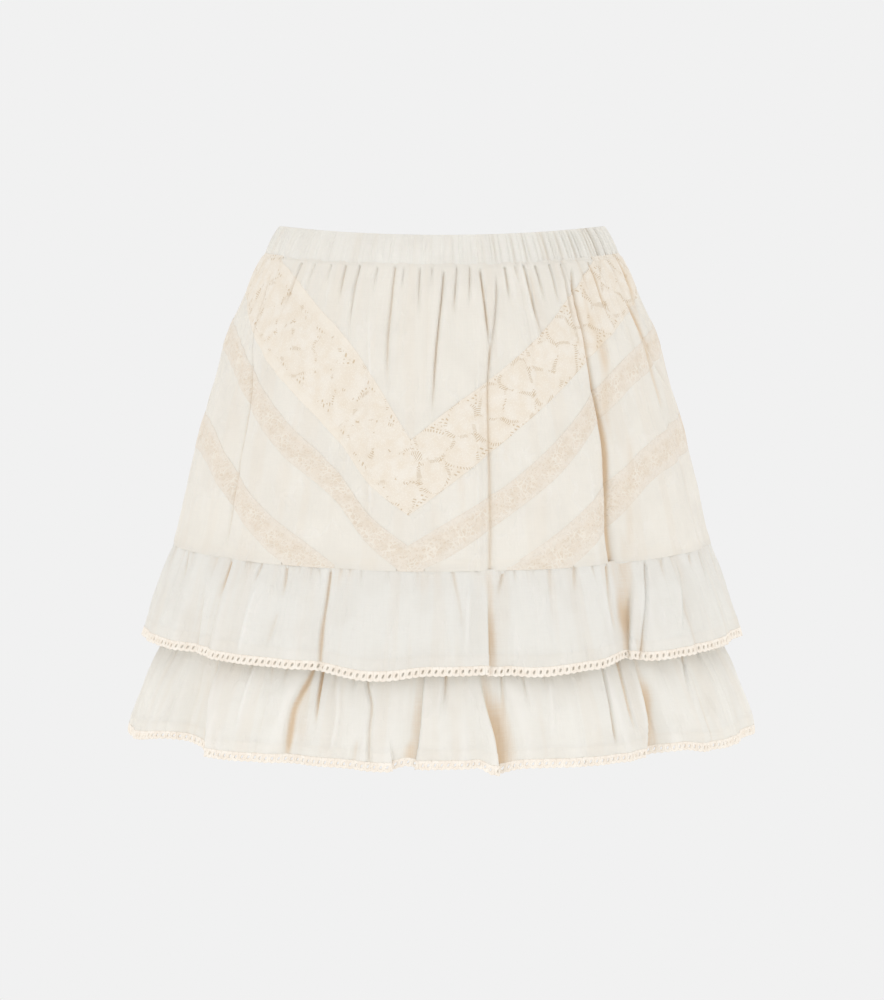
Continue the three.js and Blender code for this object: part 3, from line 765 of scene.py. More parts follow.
BAND_TIER = Tier(UPPER_FORM, BAND_TOP, BAND_BASE, WAIST_GATHERS, 1.6, 2.2, 1, 0, WAIST_CALM)
BODY_TIER = Tier(UPPER_FORM, BODY_TOP, BODY_BASE, WAIST_GATHERS, 2.6, 0.3, 0.45, 0.5, BODY_CALM, BODY_CREASES,
                 rumple=0.5, underlay_shades=BODY_UNDERLAY_SHADES)
UPPER_TIER = Tier(UPPER_FORM, UPPER_TOP, UPPER_EDGE_BASE, gather_angles(48, 1.9), 2, 3.6, 1.2, 0.75,
                  RUFFLE_CALM, UPPER_CREASES, UPPER_LAPS, UPPER_DROPS, 0.7, UPPER_UNDERLAY_SHADES)
UNDER_TIER = Tier(LOWER_FORM, UPPER_TOP, UNDER_BASE, LOWER_GATHERS, 0, 1.2, 2, 0)
LOWER_TIER = Tier(LOWER_FORM, LOWER_TOP, LOWER_EDGE_BASE, LOWER_GATHERS, 2, 4.5, 1.2, 0.75,
                  RUFFLE_CALM, LOWER_CREASES, LOWER_LAPS, LOWER_DROPS, 0.8, LOWER_UNDERLAY_SHADES)


# The chevrons

# Rows of an arm: the turn from the point of the V, and the heights of the wide lace's top and
# base, the narrow lace's and the corner lace's
FRONT_LEFT_ARM = (
    (0, -137, -192, -214, -236, -275, -300),
    (9, -97, -170, -191, -212, -248, -276),
    (18, -66, -138, -158, -179, -224, -247),
    (29, -44, -112, -134, -157, -203, -228),
    (43, -22, -86, -105, -128, -176, -200),
    (63, -4, -50, -68, -90, -138, -163),
    (83, 4, -34, -58, -80, -130, -156),
)
FRONT_RIGHT_ARM = (
    (0, -137, -192, -214, -236, -275, -300),
    (9, -114, -169, -195, -221, -253, -279),
    (20, -91, -142, -173, -196, -231, -258),
    (32, -65, -114, -144, -168, -206, -236),
    (45, -38, -87, -112, -134, -178, -208),
    (59, -15, -64, -86, -108, -152, -178),
    (73, -4, -49, -73, -95, -140, -166),
    (97, 4, -34, -58, -80, -130, -156),
)
BACK_ARM = (
    (0, -130, -186, -209, -234, -272, -298),
    (10, -108, -164, -190, -215, -249, -275),
    (20, -87, -141, -170, -193, -229, -255),
    (32, -64, -113, -143, -166, -205, -234),
    (45, -38, -87, -113, -136, -178, -206),
    (60, -16, -62, -86, -109, -153, -179),
    (75, -4, -45, -68, -91, -138, -164),
    (90, 4, -34, -58, -80, -130, -156),
)
FRONT_APEX = -7.0
BACK_APEX = 180.0


class Seam(Enum):
    """The edges of the lace on an arm of the V, as columns of an arm's table."""

    WIDE_TOP = 1
    WIDE_BASE = 2
    NARROW_TOP = 3
    NARROW_BASE = 4
    CORNER_TOP = 5
    CORNER_BASE = 6

    def height(self, angle: Array) -> Array:
        """The seam's height at angles round the body, not held to the body's own ends."""
        turned = wrapped(angle)
        back = read_table(BACK_ARM, self.value, FULL_TURN / 2 - np.abs(turned))
        left = read_table(FRONT_LEFT_ARM, self.value, np.abs(turned - FRONT_APEX))
        right = read_table(FRONT_RIGHT_ARM, self.value, np.abs(turned - FRONT_APEX))
        return np.where(np.abs(turned) > SIDE, back, np.where(turned < FRONT_APEX, left, right))


# Meshes


def ring_columns(front_step: float, back_step: float) -> Array:
    """Angles all round, closer together at the front than at the back.

    Args:
        front_step: The step at the front, in degrees.
        back_step: The step at the back.

    Returns:
        The angles from the centre back to the centre back.
    """
    front = np.linspace(-FRONT_REACH, FRONT_REACH, int(round(2 * FRONT_REACH / front_step)) + 1)
    back = int(round((FULL_TURN / 2 - FRONT_REACH) / back_step))
    left = np.linspace(-FULL_TURN / 2, -FRONT_REACH, back, endpoint=False)
    return np.concatenate((left, front, -left[::-1]))


def grid_faces(columns: int, rows: int, closed: bool) -> Array:
    """The quads of a grid of points, each facing out where columns turn to the right and rows go down.

    Args:
        columns: The number of columns.
        rows: The number of rows.
        closed: Whether the last column joins the first.

    Returns:
        Four vertex numbers for each quad.
    """
    i, j = np.meshgrid(np.arange(columns if closed else columns - 1), np.arange(rows - 1), indexing="ij")
    following = (i + 1) % columns
    quads = np.stack((i * rows + j, i * rows + j + 1, following * rows + j + 1, following * rows + j), axis=-1)
    return quads.reshape(-1, 4)


def make_piece(name: str, points: Array, quads: Array, maps: dict[str, Array], marks: dict[str, Array]) -> bpy.types.Object:
    """Makes a mesh object from whole arrays.

    Args:
        name: The piece's name.
        points: Points in millimetres, one row each.
        quads: Four vertex numbers for each face.
        maps: UV maps by name, in metres, one row for each corner.
        marks: Values by name, one for each point.

    Returns:
        The object, smooth inside its borders, linked to the scene.
    """
    mesh = bpy.data.meshes.new(name)
    mesh.vertices.add(len(points))
    mesh.vertices.foreach_set("co", (points * METRE).astype(np.float32).ravel())
    mesh.loops.add(quads.size)
    mesh.loops.foreach_set("vertex_index", quads.astype(np.int32).ravel())
    mesh.polygons.add(len(quads))
    mesh.polygons.foreach_set("loop_start", np.arange(0, quads.size, 4, dtype=np.int32))
    mesh.update(calc_edges=True)
    mesh.shade_smooth()
    for map_name, uv in maps.items():
        layer = mesh.uv_layers.new(name=map_name)
        layer.uv.foreach_set("vector", uv.astype(np.float32).ravel())
    for mark, values in marks.items():
        attribute = mesh.attributes.new(mark, "FLOAT", "POINT")
        attribute.data.foreach_set("value", values.astype(np.float32).ravel())
    edge_of = np.empty(quads.size, np.int32)
    mesh.loops.foreach_get("edge_index", edge_of)
    border = np.bincount(edge_of, minlength=len(mesh.edges)) == 1
    sharp = mesh.attributes.new("sharp_edge", "BOOLEAN", "EDGE")
    sharp.data.foreach_set("value", border)
    piece = bpy.data.objects.new(name, mesh)
    bpy.context.scene.collection.objects.link(piece)
    return piece


@dataclass
class ClothGrid:
    """A grid of cloth on a tier: angles and heights by column and row, with its flat coordinates."""

    tier: Tier
    angle: Array
    z: Array
    closed: bool
    flat_u: Array
    flat_v: Array
    rise: Array
    doubled: Array
    # Extra painted shade, added to the hollow mark
    shade: Array | float = 0.0

    def make(self, name: str) -> bpy.types.Object:
        """Makes the cloth's piece, with its weave map, its hollow mark for painted shade and its doubled mark."""
        points = self.tier.raised(self.angle, self.z, self.rise)
        columns, rows = self.angle.shape
        quads = grid_faces(columns, rows, self.closed)
        column_of = np.repeat(np.arange(columns if self.closed else columns - 1), rows - 1)
        row_of = quads[:, 0] % rows
        ends = np.stack((column_of, column_of, column_of + 1, column_of + 1), axis=-1)
        lines = np.stack((row_of, row_of + 1, row_of + 1, row_of), axis=-1)
        uv = np.stack((self.flat_u[ends, lines], self.flat_v[ends, lines]), axis=-1) * METRE
        hollow = self.tier.hollow(self.angle, self.z) + self.shade
        return make_piece(
            name, points.reshape(-1, 3), quads, {"cloth": uv.reshape(-1, 2)},
            {"hollow": hollow, "doubled": self.doubled},
        )


def thickened(piece: bpy.types.Object, thickness: float) -> None:
    """Gives a sheet its thickness inwards.

    Args:
        piece: The sheet.
        thickness: Its thickness in millimetres.
    """
    wall = piece.modifiers.new("thickness", "SOLIDIFY")
    wall.thickness = thickness * METRE
    wall.offset = -1
    wall.use_even_offset = False


def dress(piece: bpy.types.Object, node: str, material: bpy.types.Material) -> None:
    """Gives a piece its material and its body, hides the frame's node that it stands for, and logs its triangles."""
    piece.data.materials.append(material)
    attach(piece, BODY_NAME)
    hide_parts(node)
    corners = sum(len(p.vertices) - 2 for p in piece.data.polygons)
    log.info("%s: %d triangles before its thickness", piece.name, corners)


# Finishes


class NodeBench:
    """Places nodes in one tree, joins them, and does sums with them."""

    def __init__(self, tree: bpy.types.NodeTree) -> None:
        """Works in this tree."""
        self.tree = tree

    def add(self, kind: str, **settings: object) -> bpy.types.Node:
        """A new node of that kind with its settings.

        Args:
            kind: The node's type.
            settings: Its properties by name.

        Returns:
            The node.
        """
        node = self.tree.nodes.new(kind)
        for name, value in settings.items():
            setattr(node, name, value)
        return node

    def join(self, source: object, target: bpy.types.NodeSocket) -> None:
        """Feeds a socket, or sets its value where the source is a number or a colour."""
        if isinstance(source, bpy.types.NodeSocket):
            self.tree.links.new(source, target)
        else:
            target.default_value = source

    def sum(self, operation: str, *values: object) -> bpy.types.NodeSocket:
        """The result of one sum.

        Args:
            operation: The sum's name, as Blender's Math node has it.
            values: Sockets or numbers.

        Returns:
            The socket that holds the result.
        """
        node = self.add("ShaderNodeMath", operation=operation)
        for socket, value in zip(node.inputs, values):
            self.join(value, socket)
        return node.outputs[0]

    def between(self, value: object, low: float, high: float, first: float = 0.0, last: float = 1.0) -> bpy.types.NodeSocket:
        """A soft step of a value from one number to another.

        Args:
            value: The value's socket.
            low: Where the step begins.
            high: Where it ends.
            first: The result before it.
            last: The result after it.

        Returns:
            The socket that holds the result.
        """
        node = self.add("ShaderNodeMapRange", interpolation_type="SMOOTHSTEP")
        for socket, given in zip(node.inputs, (value, low, high, first, last)):
            self.join(given, socket)
        return node.outputs[0]

    def tint(self, share: object, first: object, second: object, blend: str = "MIX") -> bpy.types.NodeSocket:
        """A colour mixed from two.

        Args:
            share: The second colour's share.
            first: The first colour.
            second: The second colour.
            blend: How they mix.

        Returns:
            The mixed colour's socket.
        """
        node = self.add("ShaderNodeMix", data_type="RGBA", blend_type=blend)
        self.join(share, node.inputs["Factor"])
        self.join(first, node.inputs[6])
        self.join(second, node.inputs[7])
        return node.outputs[2]

    def vector(self, x: object, y: object, z: object = 0.0) -> bpy.types.NodeSocket:
        """A vector from three values."""
        node = self.add("ShaderNodeCombineXYZ")
        for socket, value in zip(node.inputs, (x, y, z)):
            self.join(value, socket)
        return node.outputs[0]

    def noise(self, at: object, scale: float, detail: float = 2.0) -> bpy.types.NodeSocket:
        """Soft noise between 0 and 1 at a vector."""
        node = self.add("ShaderNodeTexNoise")
        self.join(at, node.inputs["Vector"])
        node.inputs["Scale"].default_value = scale
        node.inputs["Detail"].default_value = detail
        return node.outputs["Fac"]


@dataclass(frozen=True)
class EffectGroup:
    """A shader node group with named inputs and outputs, built once for all finishes."""

    name: str
    takes: tuple[tuple[str, str, float], ...]
    gives: tuple[tuple[str, str], ...]

    def begin(self) -> tuple[bpy.types.NodeTree, NodeBench, bpy.types.Node, bpy.types.Node]:
        """Makes the empty group with its sockets.

        Returns:
            The tree, a bench on it, its input node and its output node.
        """
        tree = bpy.data.node_groups.new(self.name, "ShaderNodeTree")
        for socket, kind, value in self.takes:
            made = tree.interface.new_socket(socket, in_out="INPUT", socket_type=kind)
            if kind == "NodeSocketFloat":
                made.default_value = value
        for socket, kind in self.gives:
            tree.interface.new_socket(socket, in_out="OUTPUT", socket_type=kind)
        bench = NodeBench(tree)
        return tree, bench, bench.add("NodeGroupInput"), bench.add("NodeGroupOutput")


FLOAT = "NodeSocketFloat"
VECTOR = "NodeSocketVector"


class SharedEffects:
    """The node groups that more than one finish uses."""

    def __init__(self) -> None:
        """Builds the groups."""
        self.weave = self._weave()
        self.threads = self._threads()
        self.age = self._age()

    def _weave(self) -> bpy.types.NodeTree:
        """Plain weave: two crossed waves, uneven threads both ways, soft crinkles and long soft streaks."""
        group = EffectGroup(
            "plain_weave",
            (("Cloth", VECTOR, 0), ("Pitch", FLOAT, 0.4)),
            (("Height", FLOAT), ("Slub", FLOAT), ("Crinkle", FLOAT), ("Drape", FLOAT)),
        )
        tree, bench, start, end = group.begin()
        apart = bench.add("ShaderNodeSeparateXYZ")
        bench.join(start.outputs["Cloth"], apart.inputs[0])
        turn = bench.sum("DIVIDE", 2 * math.pi, start.outputs["Pitch"])
        warp = bench.sum("SINE", bench.sum("MULTIPLY", apart.outputs[0], turn))
        weft = bench.sum("SINE", bench.sum("MULTIPLY", apart.outputs[1], turn))
        crossed = bench.sum("MULTIPLY", warp, weft)
        across = bench.noise(bench.vector(bench.sum("MULTIPLY", apart.outputs[0], 0.05), apart.outputs[1]), 1.3)
        down = bench.noise(bench.vector(apart.outputs[0], bench.sum("MULTIPLY", apart.outputs[1], 0.04)), 1.1)
        slub = bench.sum("MULTIPLY", bench.sum("ADD", across, down), 0.5)
        tall = bench.vector(apart.outputs[0], bench.sum("MULTIPLY", apart.outputs[1], 0.45))
        rough = bench.noise(tall, 0.075, 2.0)
        ridged = bench.sum("ABSOLUTE", bench.sum("SUBTRACT", rough, 0.5))
        fine = bench.between(ridged, 0.0, 0.05, 1.0, 0.0)
        patchy = bench.between(bench.noise(start.outputs["Cloth"], 0.035, 1.0), 0.42, 0.6)
        crinkle = bench.sum("MULTIPLY", fine, patchy)
        hanging = bench.vector(apart.outputs[0], bench.sum("MULTIPLY", apart.outputs[1], 0.09))
        bench.join(bench.noise(hanging, 0.055, 2.0), end.inputs["Drape"])
        bench.join(crossed, end.inputs["Height"])
        bench.join(slub, end.inputs["Slub"])
        bench.join(crinkle, end.inputs["Crinkle"])
        return tree

    def _threads(self) -> bpy.types.NodeTree:
        """Worked cotton thread: fine twisted strands with noise, for lace and crochet."""
        group = EffectGroup(
            "worked_thread",
            (("Cloth", VECTOR, 0), ("Size", FLOAT, 1.0)),
            (("Height", FLOAT), ("Tone", FLOAT)),
        )
        tree, bench, start, end = group.begin()
        scaled = bench.add("ShaderNodeVectorMath", operation="SCALE")
        bench.join(start.outputs["Cloth"], scaled.inputs[0])
        bench.join(bench.sum("DIVIDE", 1.0, start.outputs["Size"]), scaled.inputs["Scale"])
        cells = bench.add("ShaderNodeTexVoronoi", feature="SMOOTH_F1")
        bench.join(scaled.outputs[0], cells.inputs["Vector"])
        cells.inputs["Scale"].default_value = 1.0
        fine = bench.noise(scaled.outputs[0], 2.3, 3.0)
        broad = bench.noise(scaled.outputs[0], 0.12, 2.0)
        height = bench.sum("ADD", bench.sum("MULTIPLY", cells.outputs["Distance"], -0.8), fine)
        bench.join(height, end.inputs["Height"])
        bench.join(bench.sum("MULTIPLY", bench.sum("ADD", fine, broad), 0.5), end.inputs["Tone"])
        return tree

    def _age(self) -> bpy.types.NodeTree:
        """Painted shade and painted highlight: the deeper the cloth lies in a fold, the more of a warm dark tone; on
        ridges, a pale one.
        """
        group = EffectGroup(
            "painted_shade_and_highlight",
            (("Hollow", FLOAT, 0), ("Depth", FLOAT, 5.0), ("Grain", FLOAT, 0.5)),
            (("PaintedShade", FLOAT), ("PaintedHighlight", FLOAT)),
        )
        tree, bench, start, end = group.begin()
        share = bench.sum("DIVIDE", start.outputs["Hollow"], start.outputs["Depth"])
        varied = bench.sum("MULTIPLY", share, bench.sum("ADD", 0.6, bench.sum("MULTIPLY", start.outputs["Grain"], 0.8)))
        bench.join(bench.between(varied, 0.14, 1.25), end.inputs["PaintedShade"])
        bench.join(bench.between(varied, -0.08, -0.5), end.inputs["PaintedHighlight"])
        return tree


def colour(red: int, green: int, blue: int) -> tuple[float, float, float, float]:
    """A display colour, 0 to 255, as linear light: each channel by the sRGB curve."""
    parts = np.array((red, green, blue)) / 255
    linear = np.where(parts <= 0.04045, parts / 12.92, ((parts + 0.055) / 1.055) ** 2.4)
    return (*(float(x) for x in linear), 1.0)


class Finish:
    """What every cloth finish has: a material, a Principled shader, and the cloth's coordinates."""

    def __init__(self, name: str, effects: SharedEffects) -> None:
        """Starts the material.

        Args:
            name: The material's name.
            effects: The shared node groups.
        """
        self.effects = effects
        self.material = bpy.data.materials.new(name)
        self.material.use_nodes = True
        self.material.node_tree.nodes.clear()
        self.bench = NodeBench(self.material.node_tree)
        self.shader = self.bench.add("ShaderNodeBsdfPrincipled")
        self.output = self.bench.add("ShaderNodeOutputMaterial")
        self.shader.inputs["Specular IOR Level"].default_value = 0.25
        flat = self.bench.add("ShaderNodeUVMap", uv_map="cloth")
        scaled = self.bench.add("ShaderNodeVectorMath", operation="SCALE")
        self.bench.join(flat.outputs[0], scaled.inputs[0])
        scaled.inputs["Scale"].default_value = 1 / METRE
        self.cloth = scaled.outputs[0]

    def mark(self, name: str) -> bpy.types.NodeSocket:
        """A value that the mesh carries."""
        return self.bench.add("ShaderNodeAttribute", attribute_name=name).outputs["Fac"]

    def effect(self, tree: bpy.types.NodeTree, **given: object) -> bpy.types.Node:
        """Places a shared group with its values."""
        node = self.bench.add("ShaderNodeGroup", node_tree=tree)
        for name, value in given.items():
            self.bench.join(value, node.inputs[name])
        return node

    def bump(self, height: object, distance: float, strength: float, under: object = None) -> bpy.types.NodeSocket:
        """A bump of that height in millimetres on what lies under it."""
        node = self.bench.add("ShaderNodeBump")
        node.inputs["Strength"].default_value = strength
        node.inputs["Distance"].default_value = distance * METRE
        self.bench.join(height, node.inputs["Height"])
        if under is not None:
            self.bench.join(under, node.inputs["Normal"])
        return node.outputs[0]

    def soft_edge(self, start: float, end: float) -> bpy.types.NodeSocket:
        """How far a lace gives way to plain cloth beside its band, in uneven scallops.

        Args:
            start: The distance from the band's middle where it begins, in millimetres.
            end: The distance where it is at its most.

        Returns:
            The plain cloth's share.
        """
        bench = self.bench
        apart = bench.add("ShaderNodeSeparateXYZ")
        bench.join(self.cloth, apart.inputs[0])
        away = bench.sum("ABSOLUTE", apart.outputs[1])
        scallop = bench.sum("MULTIPLY", bench.sum("SUBTRACT", bench.noise(self.cloth, 0.2, 1.0), 0.5), 7.0)
        return bench.between(bench.sum("ADD", away, scallop), start, end, 0.0, 0.65)

    def sheer(self, share: float, tint: tuple[float, ...]) -> None:
        """Lets that share of the light through the cloth.

        Args:
            share: The share of light that passes.
            tint: The colour that it takes on.
        """
        through = self.bench.add("ShaderNodeBsdfTranslucent")
        through.inputs["Color"].default_value = tint
        both = self.bench.add("ShaderNodeMixShader")
        both.inputs[0].default_value = share
        self.bench.join(self.shader.outputs[0], both.inputs[1])
        self.bench.join(through.outputs[0], both.inputs[2])
        self.bench.join(both.outputs[0], self.output.inputs["Surface"])


@dataclass(frozen=True)
class VoileColours:
    """The tones of cotton voile: one layer, two layers, painted shade in a fold's depth, a painted highlight on ridges,
    and light through it.
    """

    single: tuple[float, ...] = colour(247, 246, 241)
    double: tuple[float, ...] = colour(246, 241, 231)
    # deep is painted shade in folds; crest is a painted highlight on ridges
    deep: tuple[float, ...] = colour(228, 200, 164)
    crest: tuple[float, ...] = colour(253, 252, 249)
    through: tuple[float, ...] = colour(252, 244, 230)


class VoileFinish(Finish):
    """Fine cotton voile: plain weave, slubs and soft crinkles, slightly sheer, with a faint sheen; painted shade in
    folds and drape hollows, painted highlight on crinkles and ridges.
    """

    def __init__(self, effects: SharedEffects, tones: VoileColours = VoileColours()) -> None:
        """Builds the finish in its tones."""
        super().__init__("cotton_voile", effects)
        bench = self.bench
        weave = self.effect(effects.weave, Cloth=self.cloth, Pitch=0.42)
        slub = weave.outputs["Slub"]
        base = bench.tint(self.mark("doubled"), tones.single, tones.double)
        # Painted highlight: the crinkles are made paler
        crinkle_highlight = bench.sum("MULTIPLY", weave.outputs["Crinkle"], 0.35)
        lit = bench.tint(crinkle_highlight, base, colour(252, 250, 246))
        blotch = bench.between(bench.noise(self.cloth, 0.028, 2.0), 0.42, 0.62, 0.0, 0.25)
        clouded = bench.tint(blotch, lit, colour(234, 230, 222))
        threaded = bench.tint(bench.between(slub, 0.42, 0.62, 0.0, 0.10), clouded, colour(224, 220, 212))
        # Painted shade: the drape's low stretches take a little of the fold shade colour
        drape_shade = bench.between(weave.outputs["Drape"], 0.36, 0.5, 0.07, 0.0)
        drape_shaded = bench.tint(drape_shade, threaded, tones.deep)
        # Painted shade in folds from the hollow mark, and a painted highlight on ridges
        painted_shade = self.effect(effects.age, Hollow=self.mark("hollow"), Depth=3.9, Grain=slub)
        ridge_highlighted = bench.tint(bench.sum("MULTIPLY", painted_shade.outputs["PaintedHighlight"], 0.5), drape_shaded, tones.crest)
        fold_shaded = bench.tint(bench.sum("MULTIPLY", painted_shade.outputs["PaintedShade"], 0.8), ridge_highlighted, tones.deep)
        bench.join(fold_shaded, self.shader.inputs["Base Color"])
        bench.join(bench.between(slub, 0.3, 0.7, 0.78, 0.9), self.shader.inputs["Roughness"])
        draped = self.bump(weave.outputs["Drape"], 4.0, 0.3)
        crinkled = self.bump(weave.outputs["Crinkle"], 0.6, 0.4, draped)
        slubbed = self.bump(slub, 0.25, 0.5, crinkled)
        bench.join(self.bump(weave.outputs["Height"], 0.05, 0.5, slubbed), self.shader.inputs["Normal"])
        self.shader.inputs["Sheen Weight"].default_value = 0.15
        self.shader.inputs["Sheen Roughness"].default_value = 0.5
        self.sheer(0.22, tones.through)


@dataclass(frozen=True)
class PetalLace:
    """The wide lace's repeat, in millimetres: two staggered rows of petals between netted edges.

    The same sums are done in numpy for the relief and with nodes for the openwork.
    """

    repeat: float = 27.0
    row: float = 7.6
    petal: float = 12.6
    net: float = 19.4
    cord: float = 21.6
    wave: float = 2.4

    def relief(self, along: Array, across: Array) -> Array:
        """The lace's height: domed petals round their centres, and two cords along each edge.

        Args:
            along: Distance along the band.
            across: Distance from its middle.

        Returns:
            The height in millimetres.
        """
        x = along + self.wave * np.sin(across * 0.23 + along * 0.11)
        y = across + self.wave * np.sin(along * 0.19)
        ax = x - self.repeat * np.round(x / self.repeat)
        bx = x - self.repeat * (np.round(x / self.repeat - 0.5) + 0.5)
        distance = np.minimum(np.hypot(ax, y - self.row), np.hypot(bx, y + self.row))
        dome = np.clip(1 - (distance / self.petal) ** 2, 0, 1)
        cords = np.exp(-(((np.abs(across) - self.cord) / 0.8) ** 2))
        return 0.25 * dome + 0.2 * cords

    def openwork(self) -> bpy.types.NodeTree:
        """A group that gives the lace's openings, its raised threads and its tone.

        Returns:
            The group's tree.
        """
        group = EffectGroup(
            "petal_openwork",
            (("Cloth", VECTOR, 0), ("Openness", FLOAT, 0.5)),
            (("Opening", FLOAT), ("Height", FLOAT), ("Line", FLOAT)),
        )
        tree, b, start, end = group.begin()
        apart = b.add("ShaderNodeSeparateXYZ")
        b.join(start.outputs["Cloth"], apart.inputs[0])
        along, across = apart.outputs[0], apart.outputs[1]
        phase = b.sum("ADD", b.sum("MULTIPLY", across, 0.23), b.sum("MULTIPLY", along, 0.11))
        x = b.sum("ADD", along, b.sum("MULTIPLY", b.sum("SINE", phase), self.wave))
        y = b.sum("ADD", across, b.sum("MULTIPLY", b.sum("SINE", b.sum("MULTIPLY", along, 0.19)), self.wave))
        place = b.sum("DIVIDE", x, self.repeat)
        ax = b.sum("SUBTRACT", x, b.sum("MULTIPLY", b.sum("ROUND", place), self.repeat))
        half = b.sum("ADD", b.sum("ROUND", b.sum("SUBTRACT", place, 0.5)), 0.5)
        bx = b.sum("SUBTRACT", x, b.sum("MULTIPLY", half, self.repeat))
        ay = b.sum("SUBTRACT", y, self.row)
        by = b.sum("ADD", y, self.row)
        far_a = b.sum("SQRT", b.sum("ADD", b.sum("MULTIPLY", ax, ax), b.sum("MULTIPLY", ay, ay)))
        far_b = b.sum("SQRT", b.sum("ADD", b.sum("MULTIPLY", bx, bx), b.sum("MULTIPLY", by, by)))
        first = b.sum("LESS_THAN", far_a, far_b)
        other = b.sum("SUBTRACT", 1.0, first)
        cx = b.sum("ADD", b.sum("MULTIPLY", ax, first), b.sum("MULTIPLY", bx, other))
        cy = b.sum("ADD", b.sum("MULTIPLY", ay, first), b.sum("MULTIPLY", by, other))
        far = b.sum("MINIMUM", far_a, far_b)
        beside = b.sum("SUBTRACT", self.repeat / 2, b.sum("ABSOLUTE", cx))
        squares = b.sum("SUBTRACT", b.sum("MULTIPLY", far_a, far_a), b.sum("MULTIPLY", far_b, far_b))
        facing = b.sum("DIVIDE", b.sum("ABSOLUTE", squares), 2 * math.hypot(self.repeat / 2, 2 * self.row))
        rim = b.sum("SUBTRACT", self.petal, far)
        border = b.sum("MINIMUM", b.sum("MINIMUM", beside, facing), b.sum("ABSOLUTE", rim))
        # Ladders of dashes beside each border, square to it
        steps = b.sum("SINE", b.sum("MULTIPLY", b.sum("ARCTAN2", cy, cx), 51.0))
        dash = b.between(steps, 0.1, 0.7)
        belt = b.between(border, 0.9, 1.5, 1.0, 0.0)
        patches = b.noise(start.outputs["Cloth"], 0.15, 1.0)
        worked = b.between(b.sum("ADD", patches, b.sum("MULTIPLY", start.outputs["Openness"], 0.3)), 0.61, 0.68)
        inside = b.between(rim, -1.6, -1.2)
        ladder = b.sum("MULTIPLY", b.sum("MULTIPLY", dash, belt), b.sum("MULTIPLY", worked, inside))
        # Round holes where three petals meet
        corner = b.sum("SQRT", b.sum("ADD", b.sum("MULTIPLY", beside, beside), b.sum("MULTIPLY", facing, facing)))
        knot = b.between(corner, 0.5, 1.0, 1.0, 0.0)
        # Slanting slits in the net along both edges
        slant = b.sum("ADD", b.sum("MULTIPLY", along, 0.31), b.sum("MULTIPLY", across, 0.2))
        slit = b.between(b.sum("ABSOLUTE", b.sum("SUBTRACT", b.sum("FRACT", slant), 0.5)), 0.16, 0.24, 1.0, 0.0)
        rows = b.sum("FRACT", b.sum("MULTIPLY", b.sum("ABSOLUTE", across), 0.24))
        row = b.between(b.sum("ABSOLUTE", b.sum("SUBTRACT", rows, 0.5)), 0.3, 0.38, 1.0, 0.0)
        netted = b.sum("MULTIPLY", b.between(rim, -2.4, -2.0, 1.0, 0.0),
                       b.between(b.sum("ABSOLUTE", across), self.net, self.net + 0.4, 1.0, 0.0))
        scattered = b.between(b.noise(start.outputs["Cloth"], 0.27, 1.0), 0.44, 0.5)
        net = b.sum("MULTIPLY", b.sum("MULTIPLY", slit, row), b.sum("MULTIPLY", netted, scattered))
        opening = b.sum("MAXIMUM", b.sum("MAXIMUM", ladder, knot), net)
        off = b.sum("ABSOLUTE", b.sum("SUBTRACT", b.sum("ABSOLUTE", across), self.cord - 0.6))
        line = b.between(b.sum("ABSOLUTE", b.sum("SUBTRACT", off, 0.8)), 0.15, 0.45, 1.0, 0.0)
        bead = b.between(border, 0.1, 0.9, 1.0, 0.0)
        b.join(opening, end.inputs["Opening"])
        b.join(b.sum("SUBTRACT", b.sum("MULTIPLY", bead, 0.3), opening), end.inputs["Height"])
        b.join(line, end.inputs["Line"])
        return tree


@dataclass(frozen=True)
class LaceColours:
    """The tones of cotton lace: its thread, its darker thread, painted shade in its holes and in the depth of its
    folds, a paler thread, its edge, and light through it.
    """

    thread: tuple[float, ...] = colour(234, 227, 216)
    shade: tuple[float, ...] = colour(229, 218, 202)
    # hole is painted shade: the dim inside seen through the openings
    hole: tuple[float, ...] = colour(212, 189, 156)
    # deep is painted shade in folds
    deep: tuple[float, ...] = colour(214, 188, 152)
    # light is a paler thread; on the narrow lace's raised scrolls it is a painted highlight
    light: tuple[float, ...] = colour(246, 241, 230)
    edge: tuple[float, ...] = colour(235, 227, 214)
    through: tuple[float, ...] = colour(250, 228, 200)


NARROW_TONES = LaceColours(
    thread=colour(239, 230, 217), shade=colour(232, 220, 203), hole=colour(218, 200, 174), deep=colour(218, 194, 160),
    edge=colour(240, 233, 222),
)
CROCHET_TONES = LaceColours(thread=colour(245, 239, 229), shade=colour(237, 226, 212))


